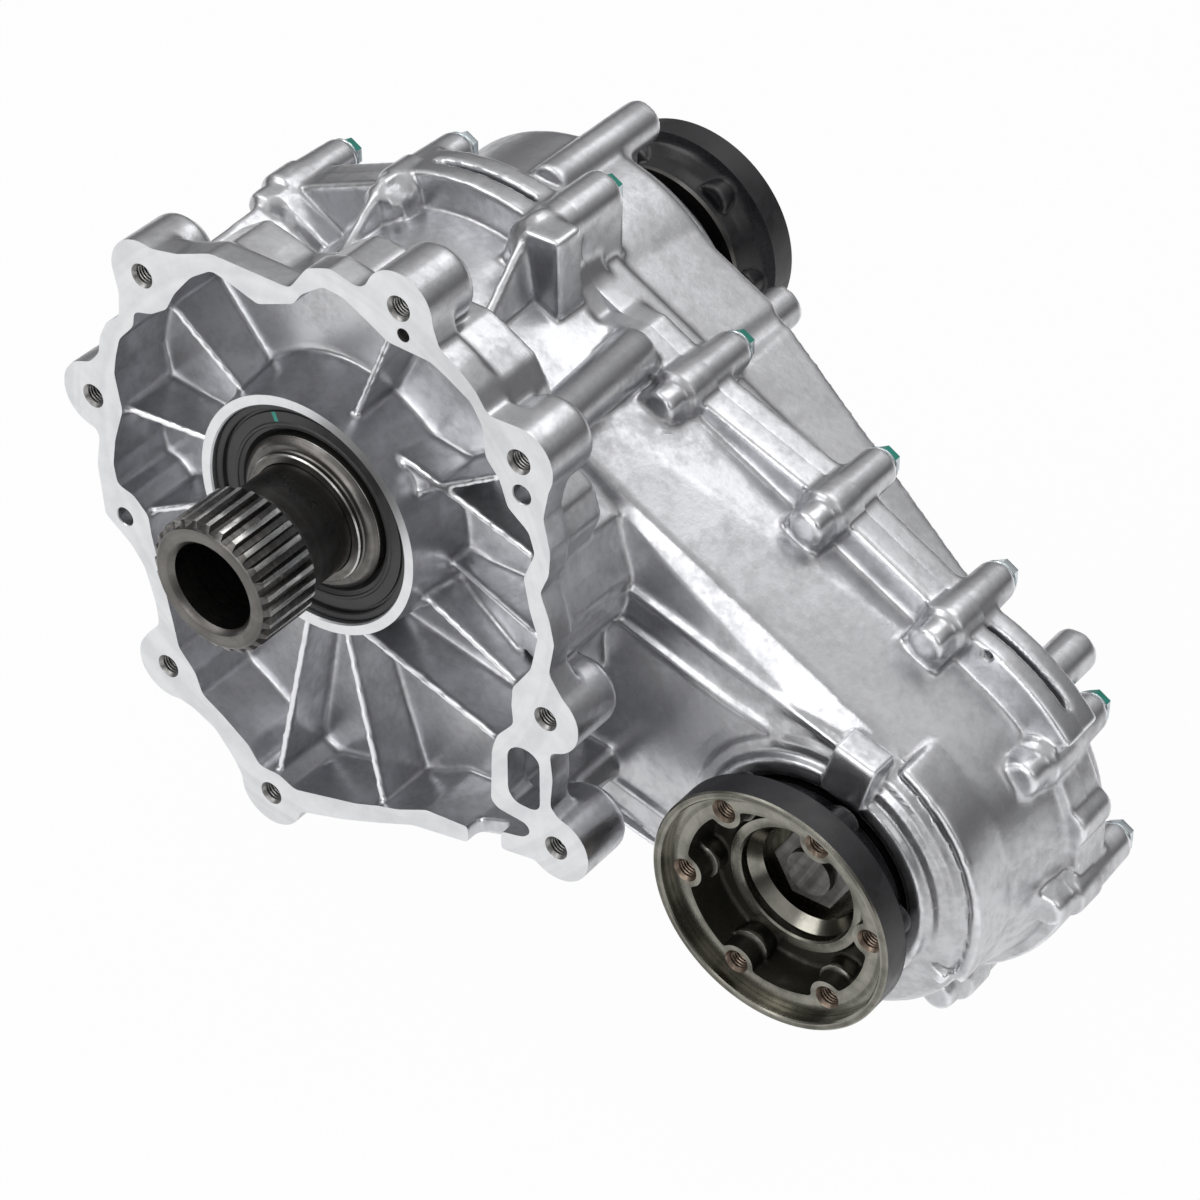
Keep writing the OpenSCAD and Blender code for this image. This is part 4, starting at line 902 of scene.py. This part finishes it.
@dataclass
class Casting:
    """A casting: a softened copy of its construction solid, then machined crisp.

    Attributes:
        node: The construction node.
        name: The piece's name.
        voxel: Size of the blank's cells in millimetres.
        smoothing: Rounds of smoothing of the blank.
        budget: Most triangles that the blank keeps.
    """

    node: str
    name: str
    voxel: float = 1.35
    smoothing: int = 7
    budget: int = 175000

    def pushed(self, shape: bmesh.types.BMesh) -> None:
        """Move faces that are machined later outwards by their allowance.

        Args:
            shape: The blank in millimetres.
        """

    def additions(self, shape: bmesh.types.BMesh) -> None:
        """Add forms of the blank that the construction solid lacks.

        Args:
            shape: The blank in millimetres.
        """

    def rounded(self, shape: bmesh.types.BMesh) -> list[bmesh.types.BMVert]:
        """Points of the blank, in metres, that the die leaves rounder than the rest."""
        return []

    def blank(self) -> bpy.types.Object:
        """Copy the solid, add to it, and soften it as a die would cast it.

        Returns:
            The blank.
        """
        shape = bmesh.new()
        shape.from_mesh(frame["nodes"][self.node].data)
        bmesh.ops.scale(shape, vec=(1 / MM,) * 3, verts=shape.verts)
        bmesh.ops.remove_doubles(shape, verts=shape.verts, dist=0.002)
        for face in shape.faces:
            face.material_index = 0
        self.pushed(shape)
        self.additions(shape)
        obj = to_object(self.name, shape)
        remesh = obj.modifiers.new("skin", "REMESH")
        remesh.mode = "VOXEL"
        remesh.voxel_size = self.voxel * 1.0 * MM
        applied(obj)
        shape = bmesh.new()
        shape.from_mesh(obj.data)
        passes = [(list(shape.verts), self.smoothing)]
        pads = self.rounded(shape)
        if pads:
            passes.append((pads, PAD_SMOOTHING))
        for verts, rounds in passes:
            for _ in range(rounds):
                bmesh.ops.smooth_vert(
                    shape, verts=verts, factor=0.5, use_axis_x=True, use_axis_y=True, use_axis_z=True,
                )
        shape.to_mesh(obj.data)
        shape.free()
        triangles = 2 * len(obj.data.polygons)
        if triangles > self.budget:
            thin = obj.modifiers.new("thin", "DECIMATE")
            thin.ratio = self.budget / triangles
            applied(obj)
        relief_of(obj.data, FULL_EDGE, 3)
        log.info("%s: blank of %d faces from %d triangles", self.name, len(obj.data.polygons), triangles)
        return obj

    def machined(
        self, palette: Palette, front: Point, back: Point, *cutters: bpy.types.Object,
    ) -> bpy.types.Object:
        """Cast the blank, mill its two flat faces, cut it and dress it.

        Args:
            palette: The materials.
            front: Layer that the front face loses, from y to y.
            back: Layer that the back face loses.
            cutters: Other shapes to cut, with material indices.

        Returns:
            The piece.
        """
        obj = self.blank()
        planes = bmesh.new()
        for y0, y1 in (front, back):
            block(planes, (-200, y0, -260), (420, y1, 220), slot=1)
        materials = [palette.cast, palette.milled, palette.bored, palette.thread]
        set_materials(obj, materials)
        for cutter in (to_object("planes", planes), *cutters):
            set_materials(cutter, materials)
            boolean(obj, cutter)
        return finished(obj, materials, Body.CASE, self.node)

    def thread_profile(self, minor: float, major: float, depth: float, pitch: float = 1.5) -> list[Point]:
        """Profile of a tapped hole's cutter, from its mouth inwards along +Y.

        Args:
            minor: Radius over the threads' crests.
            major: Radius at the threads' roots.
            depth: Depth of the hole.
            pitch: Distance of the threads.

        Returns:
            (radius, y) points, closed on the axis.
        """
        points: list[Point] = [(0.0, -0.6), (major + 1.5, -0.6), (minor + 0.1, major - minor + 0.6)]
        y = major - minor + 0.8
        while y + pitch < depth - 2:
            points += [(minor, y), (minor, y + 0.2 * pitch), (major, y + 0.55 * pitch), (major, y + 0.65 * pitch)]
            y += pitch
        points += [(minor, y), (minor, depth), (0.0, depth + minor * 0.5)]
        return points


def moved_profile(profile: Sequence[Point], start: float, facing: int = 1) -> list[Point]:
    """Place a profile along Y.

    Args:
        profile: (radius, y) points.
        start: Where its y is 0.
        facing: 1 to run towards +Y, -1 towards -Y.

    Returns:
        The moved profile.
    """
    return [(r, start + facing * y) for r, y in profile]


@dataclass
class FrontCasting(Casting):
    """The front half: the ribbed bell, its hub and the front of the chain case.

    Attributes:
        threads: The bell's tapped holes, [x, z].
        dowels: The bell's dowel holes, [x, z].
        hub_bore: Radius of the seal's seat.
        allowance: Metal left on machined faces before machining.
        pad_reach: Half the width of the space that a bolt's boss takes.
        nose: Middle of the pad beside the third bolt, [x, z].
    """

    node: str = "front_case"
    name: str = "front_case_casting"
    voxel: float = 1.08
    smoothing: int = 9
    budget: int = 145000
    threads: tuple[Point, ...] = (
        (-84.5, 89.0), (-120.0, 13.0), (-88.5, -123.5), (-30.5, -170.0),
        (55.5, 127.5), (115.0, 77.5), (127.0, -49.5), (132.0, -118.5),
    )
    dowels: tuple[Point, ...] = ((-107.3, -47.2), (116.2, 61.8))
    hub_bore: float = 53.0
    thread_radii: Point = (4.25, 5.05)
    allowance: float = 3.0
    pad_reach: float = 17.0
    nose: Point = (52.0, 97.0)

    def pushed(self, shape: bmesh.types.BMesh) -> None:
        """Leave metal on the bell's face and on the joint's face."""
        for vert in shape.verts:
            if vert.co.y < 0.02:
                vert.co.y = -self.allowance
            elif vert.co.y > SEAM - 0.02:
                vert.co.y = SEAM + self.allowance

    def additions(self, shape: bmesh.types.BMesh) -> None:
        """Fill what is cut later: the cavity, the holes and the hub's bore."""
        two_circle_hull(shape, [(CAVITY_FRONT + 1, 81.2, 59.3), (SEAM + self.allowance, 83.6, 80.4)])
        for at in self.threads:
            rod(shape, 6.4, -self.allowance, 29.0, at)
        for at in self.dowels:
            rod(shape, 6.0, -self.allowance, 13.0, at)
        rod(shape, self.hub_bore + 2, -self.allowance, CAVITY_FRONT, INPUT_AXIS, 96)

    def rounded(self, shape: bmesh.types.BMesh) -> list[bmesh.types.BMVert]:
        """The front ends of the joint bolts' bosses, which are rounded pads."""
        low, reach = (CASE_FRONT - 6) * MM, self.pad_reach * MM
        spots = [(x * MM, z * MM, (SEAM - 24) * MM) for x, z in SeamBolts().places]
        spots.append((self.nose[0] * MM, self.nose[1] * MM, (SEAM - 9) * MM))
        return [
            v for v in shape.verts if v.co.y > low
            and any(v.co.y < high and abs(v.co.x - x) < reach and abs(v.co.z - z) < reach for x, z, high in spots)
        ]

    def cavity(self) -> bpy.types.Object:
        """The hollow for the chain, around the bearings' seats.

        Returns:
            The cutter.
        """
        shape = bmesh.new()
        two_circle_hull(shape, [(CAVITY_FRONT, 80, 58), (SEAM + 6, 82.7, 80.6)])
        cutter = to_object("cavity", shape)
        seats = bmesh.new()
        rod(seats, 48.0, CAVITY_FRONT - 5, 87.0, INPUT_AXIS, 72)
        rod(seats, 56.5, CAVITY_FRONT - 6, CAVITY_FRONT + 1, INPUT_AXIS, 72)
        rod(seats, 47.0, CAVITY_FRONT - 5, 93.1, OUTPUT_AXIS, 72)
        boolean(cutter, to_object("seats", seats))
        return cutter

    def bores(self) -> bpy.types.Object:
        """Every round cut, as one cutter with materials by index.

        Returns:
            The cutter.
        """
        shape = bmesh.new()
        lathe(shape, [
            (0, -2), (self.hub_bore + 0.8, -2), (self.hub_bore + 0.8, -0.2), (self.hub_bore, 0.8),
            (self.hub_bore, 16), (50, 16), (50, 38), (43, 38), (43, 62), (38, 62), (38, 68), (42, 68),
            (42, 90), (0, 90),
        ], slot=2, steps=128)
        lathe(shape, [
            (0, 48), (48, 48), (48, 57), (44, 57), (44, 69), (36, 69), (36, 74.1), (40, 74.1), (40, 96), (0, 96),
        ], OUTPUT_AXIS, slot=2)
        for at in self.threads:
            profile = self.thread_profile(self.thread_radii[0], self.thread_radii[1], 27.0)
            lathe(shape, moved_profile(profile, 0.0), at, steps=40, slot=3)
        for at in self.dowels:
            lathe(shape, [(0, -0.5), (5.2, -0.5), (4.5, 0.5), (4.5, 11), (0, 13)], at, steps=40, slot=2)
        lathe(shape, [(0, -0.5), (3.4, -0.5), (3.0, 0.4), (3.0, 8), (0, 9.5)], (57.5, 115.5), steps=32, slot=3)
        return to_object("bores", shape)

    def build(self, palette: Palette) -> bpy.types.Object:
        """Cast and machine the front half.

        Args:
            palette: The materials.

        Returns:
            The piece.
        """
        return self.machined(palette, (-20, 0), (SEAM, SEAM + 20), self.cavity(), self.bores())


@dataclass
class RearCasting(Casting):
    """The rear half: the dome, the rear hub and the back of the chain case."""

    node: str = "rear_case"
    name: str = "rear_case_casting"
    allowance: float = 3.0

    def pushed(self, shape: bmesh.types.BMesh) -> None:
        """Leave metal on the joint's face and on the rear hub's end."""
        for vert in shape.verts:
            if vert.co.y < SEAM + 0.02:
                vert.co.y = SEAM - self.allowance
            elif vert.co.y > HUB_BACK - 0.02:
                vert.co.y = HUB_BACK + self.allowance

    def build(self, palette: Palette) -> bpy.types.Object:
        """Cast and machine the rear half.

        Args:
            palette: The materials.

        Returns:
            The piece.
        """
        return self.machined(palette, (SEAM - 20, SEAM), (HUB_BACK, HUB_BACK + 20))


@dataclass
class OutputFlange(Casting):
    """A bolt-on output flange: cast and painted outside, bare and machined inside.

    Attributes:
        body: The body that it turns with.
        axis: Its axis, [x, z].
        face: Where its rim ends, along Y.
        facing: 1 where its neck runs towards +Y, -1 where it runs towards -Y.
        radius: Radius of the rim.
        register: Radius of the register inside the rim.
        bolt_circle: Radius of the circle of threaded holes.
        floor: Depth of the bore's floor behind the face.
    """

    node: str = "front_output_flange"
    name: str = "front_flange_casting"
    voxel: float = 0.8
    smoothing: int = 4
    budget: int = 90000
    body: Body = Body.FRONT
    axis: Point = OUTPUT_AXIS
    face: float = 18.6
    facing: int = 1
    radius: float = 59.6
    register: float = 55.6
    bolt_circle: float = 46.8
    floor: float = 43.5

    def polar(self, place: Vector) -> Point:
        """Radius and depth of a point in millimetres.

        Args:
            place: The point.

        Returns:
            Its distance from the axis and its depth behind the rim's face.
        """
        radius = math.hypot(place.x - self.axis[0], place.z - self.axis[1])
        return radius, (place.y - self.face) * self.facing

    def holes(self) -> list[Point]:
        """Places of the threaded holes.

        Returns:
            [x, z] of each hole.
        """
        sign = self.facing
        angles = [math.radians(6 + 60 * k) for k in range(6)]
        return [
            (self.axis[0] + sign * self.bolt_circle * math.cos(a), self.axis[1] + self.bolt_circle * math.sin(a))
            for a in angles
        ]

    def pushed(self, shape: bmesh.types.BMesh) -> None:
        """Leave metal on the rim, the lugs' faces and the hub's face."""
        for vert in shape.verts:
            radius, depth = self.polar(vert.co)
            if depth < 14.1 and radius > self.radius - 1.1:
                share = (self.radius + 1.4) / radius
                vert.co.x = self.axis[0] + (vert.co.x - self.axis[0]) * share
                vert.co.z = self.axis[1] + (vert.co.z - self.axis[1]) * share
            lug = radius < self.register - 0.1 and abs(depth - 6) < 0.02
            hub = radius < 34 and abs(depth - 21) < 0.02
            if depth < 0.02 or lug or hub:
                vert.co.y -= 1.5 * self.facing

    def additions(self, shape: bmesh.types.BMesh) -> None:
        """Fill the threaded holes and the hub's bore."""
        for at in self.holes():
            ends = sorted(self.face + self.facing * d for d in (4.6, 20.5))
            rod(shape, 6.2, ends[0], ends[1], at)
        ends = sorted(self.face + self.facing * d for d in (19.6, self.floor - 0.6))
        rod(shape, 29.4, ends[0], ends[0] + 0.5 * (ends[1] - ends[0]) if self.facing > 0 else ends[1], self.axis, 72)
        rod(shape, 25.0, ends[0], ends[1], self.axis, 72)

    def cutter(self, materials: Sequence[bpy.types.Material]) -> bpy.types.Object:
        """The turned and tapped faces, as one cutter with materials by index.

        Args:
            materials: The flange's materials.

        Returns:
            The cutter.
        """
        shape = bmesh.new()
        turned = [
            (0.0, -6.0), (self.radius + 9, -6.0), (self.radius + 9, 14.4), (self.radius, 14.4), (self.radius, 0.8),
            (self.radius - 0.8, 0.0), (self.register + 0.6, 0.0), (self.register, 0.6), (self.register, 6.0),
            (35.4, 6.0), (35.4, 21.0), (29.3, 21.0), (28.5, 21.8), (28.5, 26.0), (24.0, 31.5),
            (24.0, self.floor), (0.0, self.floor),
        ]
        verts = lathe(shape, moved_profile(turned, self.face, self.facing), self.axis, steps=128, slot=1)
        for face in {f for v in verts for f in v.link_faces}:
            radius, depth = self.polar(face.calc_center_median())
            if radius > self.radius - 0.3 and depth > 0.5:
                face.material_index = 4
        thread = bmesh.new()
        for at in self.holes():
            profile = self.thread_profile(4.25, 5.0, 14.0)
            lathe(thread, moved_profile(profile, self.face + 6 * self.facing, self.facing), at, steps=36, slot=3)
        cutter = to_object("flange_turning", shape)
        threads = to_object("flange_threads", thread)
        for obj in (cutter, threads):
            set_materials(obj, materials)
        boolean(cutter, threads, "UNION")
        return cutter

    def build(self, palette: Palette) -> bpy.types.Object:
        """Cast, turn, tap and paint the flange.

        Args:
            palette: The materials.

        Returns:
            The piece.
        """
        turned = palette.bare_turned if self.axis == OUTPUT_AXIS else palette.rear_turned
        materials = [palette.painted_cast, turned, palette.bare_cast, palette.rust, palette.paint]
        obj = self.blank()
        set_materials(obj, materials)
        boolean(obj, self.cutter(materials))
        for polygon in obj.data.polygons:
            radius, depth = self.polar(Vector(polygon.center) / MM)
            if polygon.material_index == 0 and radius < self.bolt_circle - 0.6 and depth < 27.0:
                polygon.material_index = 2
        return finished(obj, materials, self.body, self.node)


@dataclass
class InputDrive:
    """The splined input shaft, its collar and the seal around them.

    Attributes:
        reach: Distance from the bell's face to the shaft's open end.
        spline_end: Where the splines end, along Y.
        tip: Radius over the splines.
        bore: Radius of the shaft's bore.
        mark_angle: Where the seal's paint mark is, in degrees from +X towards +Z.
    """

    reach: float = 63.0
    spline_end: float = -30.0
    tip: float = 31.8
    bore: float = 20.6
    mark_angle: float = 115.0

    def shaft(self, palette: Palette) -> bpy.types.Object:
        """Round the shaft's edges and tell its crests, ends and bore apart.

        Args:
            palette: The materials.

        Returns:
            The piece.
        """
        shape = bmesh.new()
        shape.from_mesh(frame["nodes"]["input_shaft"].data)
        bmesh.ops.scale(shape, vec=(1 / MM,) * 3, verts=shape.verts)
        bmesh.ops.remove_doubles(shape, verts=shape.verts, dist=0.002)
        bmesh.ops.dissolve_limit(shape, angle_limit=math.radians(0.6), verts=shape.verts, edges=shape.edges)
        sharp = [e for e in shape.edges if len(e.link_faces) == 2 and e.calc_face_angle(0.0) > math.radians(28)]
        bmesh.ops.bevel(
            shape, geom=sharp, offset=0.28, offset_type="OFFSET", segments=2, profile=0.5, affect="EDGES",
            clamp_overlap=True, material=-1,
        )
        for face in shape.faces:
            place, normal = face.calc_center_median(), face.normal
            radius = math.hypot(place.x, place.z)
            outward = (place.x * normal.x + place.z * normal.z) / max(radius, 1e-6)
            on_splines = place.y < self.spline_end + 1
            in_lip = self.bore + 0.1 < radius < self.bore + 3.2 and outward > -0.9
            # Spline crests take the bright steel: ground finish and painted highlight.
            if on_splines and radius > self.tip - 0.5 and outward > 0.7:
                face.material_index = 1
            elif place.y < -self.reach + 0.2 or (on_splines and in_lip):
                face.material_index = 2
            elif radius < self.bore + 0.2:
                face.material_index = 3
            else:
                face.material_index = 0
        obj = to_object("splined_input_shaft", shape)
        materials = [palette.oiled, palette.crest_and_painted_highlight, palette.ground, palette.oiled]
        return finished(obj, materials, Body.INPUT, "input_shaft")

    def collar(self, palette: Palette) -> bpy.types.Object:
        """Turn the collar that the seal runs on.

        Args:
            palette: The materials.

        Returns:
            The piece.
        """
        shape = bmesh.new()
        lathe(shape, [
            (26.5, -1.4), (27.0, -2.0), (30.4, -2.0), (31.0, -1.4), (31.0, 0.4), (31.6, 1.0), (33.5, 1.0),
            (34.0, 1.2), (36.8, 4.0), (37.0, 4.4), (37.0, 14.2), (36.8, 14.7), (33.0, 18.0), (26.5, 18.0),
        ], steps=128)
        for face in shape.faces:
            place = face.calc_center_median()
            radius = math.hypot(place.x, place.z)
            # The collar's two chamfers take the bright steel as painted highlight lines.
            edge = 36.5 < radius < 37.1 and 3.6 < place.y < 4.6 or radius > 30.4 and place.y < -1.0
            face.material_index = 1 if edge else 0
        obj = to_object("input_collar_ring", shape)
        return finished(obj, [palette.ground, palette.crest_and_painted_highlight], Body.INPUT, "input_collar")

    def seal(self, palette: Palette) -> bpy.types.Object:
        """Mould the seal with its rings, lip and green mark.

        Args:
            palette: The materials.

        Returns:
            The piece.
        """
        shape = bmesh.new()
        lathe(shape, [
            (53.0, 3.6), (53.0, 13.0), (50.0, 13.0), (50.0, 6.5), (41.05, 7.5), (37.05, 11.5), (37.05, 9.0),
            (38.3, 7.4), (39.4, 5.6), (41.2, 4.8), (41.6, 4.2), (42.6, 4.0), (43.2, 4.6), (47.8, 4.7),
            (48.2, 5.6), (49.2, 5.6), (49.6, 3.6), (50.2, 3.1), (52.3, 3.0),
        ], steps=128)
        for face in shape.faces:
            place = face.calc_center_median()
            radius, angle = math.hypot(place.x, place.z), math.degrees(math.atan2(place.z, place.x))
            marked = abs(angle - self.mark_angle) < 1.5
            face.material_index = 1 if marked and 43.4 < radius < 47.6 and place.y < 5.0 else 0
        obj = to_object("input_shaft_seal", shape)
        return finished(obj, [palette.rubber, palette.mark], Body.CASE, "input_seal")


@dataclass
class SeamBolts:
    """The joint's bolts, with hexagon heads on flanges.

    Attributes:
        seat: Where the heads sit, along Y.
        flats: Width across a head's flats.
        marked: Which bolts carry a dab of green paint.
    """

    seat: float = SEAM + SEAM_COLUMN
    flats: float = 12.0
    marked: tuple[int, ...] = (0, 2, 3, 4, 6)

    @property
    def places(self) -> list[Point]:
        """The bolts' axes, [x, z]."""
        cosine, sine = math.cos(CHAIN_ANGLE), math.sin(CHAIN_ANGLE)
        beside = [(s * cosine + 97 * sine, s * sine - 97 * cosine) for s in (CENTRE_DISTANCE - 2, 190, 122, 55)]
        around = [
            (OUTPUT_AXIS[0] + x, OUTPUT_AXIS[1] + z)
            for x, z in ((19.6, 99.3), (69.1, 51.8), (86.6, -12.2), (36.1, -89.7))
        ]
        seen = [(-106.0, 62.5), (-38.5, 90.0), (40.5, 97.0), (111.0, 44.5), (187.0, 15.0)]
        return [*seen, *around, *beside, (-62.0, -93.0), (-110.0, -30.0)]

    def build(self, palette: Palette) -> bpy.types.Object:
        """Forge the bolts.

        Args:
            palette: The materials.

        Returns:
            The piece.
        """
        shape = bmesh.new()
        for number, at in enumerate(self.places):
            lathe(shape, moved_profile([
                (0, -51), (3.4, -51), (4.0, -50), (4.0, 0), (8.1, 0), (8.4, 0.4), (8.4, 0.9), (7.0, 1.7), (0, 1.9),
            ], self.seat), at, steps=32)
            before = set(shape.faces)
            turn = Matrix.Rotation(-math.pi / 2, 4, "X")
            place = Matrix.Translation((at[0], self.seat + 3.9, at[1])) @ turn
            reach = self.flats / math.sqrt(3)
            head = bmesh.ops.create_cone(
                shape, cap_ends=True, segments=6, radius1=reach, radius2=reach, depth=5.2, matrix=place,
            )
            edges = {e for v in head["verts"] for e in v.link_edges}
            rims = {e for e in edges if abs(sum(w.co.y for w in e.verts) / 2 - self.seat - 6.5) < 0.01}
            bmesh.ops.bevel(shape, geom=list(rims), offset=0.9, segments=2, profile=0.5, affect="EDGES", material=-1)
            for face in set(shape.faces) - before:
                high = face.calc_center_median().z > at[1] + 1.5
                face.material_index = 1 if number in self.marked and high else 0
        obj = to_object("seam_bolt_set", shape)
        return finished(obj, [palette.zinc, palette.mark], Body.CASE, "seam_bolts")


def dress_nodes(palette: Palette, replaced: set[str]) -> None:
    """Give every construction node that still shows its slot's material.

    Args:
        palette: The materials.
        replaced: Nodes that another piece stands for.
    """
    slots = {row["node"]: Slot(row["material_slot"]) for row in frame["record"]["subparts"]}
    for name, obj in frame["nodes"].items():
        if name in replaced:
            continue
        material = palette.oiled if name.endswith("flange_nut") else palette.by_slot(slots[name])
        set_materials(obj, [material])
        if name in BEVELLED:
            weld = obj.modifiers.new("weld", "WELD")
            weld.merge_threshold = 0.002 * MM
            bevel = obj.modifiers.new("edges", "BEVEL")
            bevel.width = 0.35 * MM
            bevel.segments = 2
            bevel.limit_method = "ANGLE"
            bevel.angle_limit = math.radians(35)
        log.info("%s: dressed as %s", name, material.name)


def main() -> None:
    """Build the stage, then the transfer case, sub-assembly by sub-assembly."""
    logging.basicConfig(level=logging.INFO, format="%(name)s: %(message)s")
    PhotoCamera().build()
    Studio().build()
    palette = Palette(Finishes())
    made = [
        FrontCasting().build(palette),
        RearCasting().build(palette),
        OutputFlange().build(palette),
        OutputFlange(
            node="rear_output_flange", name="rear_flange_casting", body=Body.REAR, axis=INPUT_AXIS, face=287.5,
            facing=-1, radius=55.0, register=51.0, bolt_circle=43.0, floor=36.0,
        ).build(palette),
        InputDrive().shaft(palette),
        InputDrive().collar(palette),
        InputDrive().seal(palette),
        SeamBolts().build(palette),
    ]
    dress_nodes(palette, {n for piece in made for n in piece.get("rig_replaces", [])})


if __name__ == "__main__":
    main()
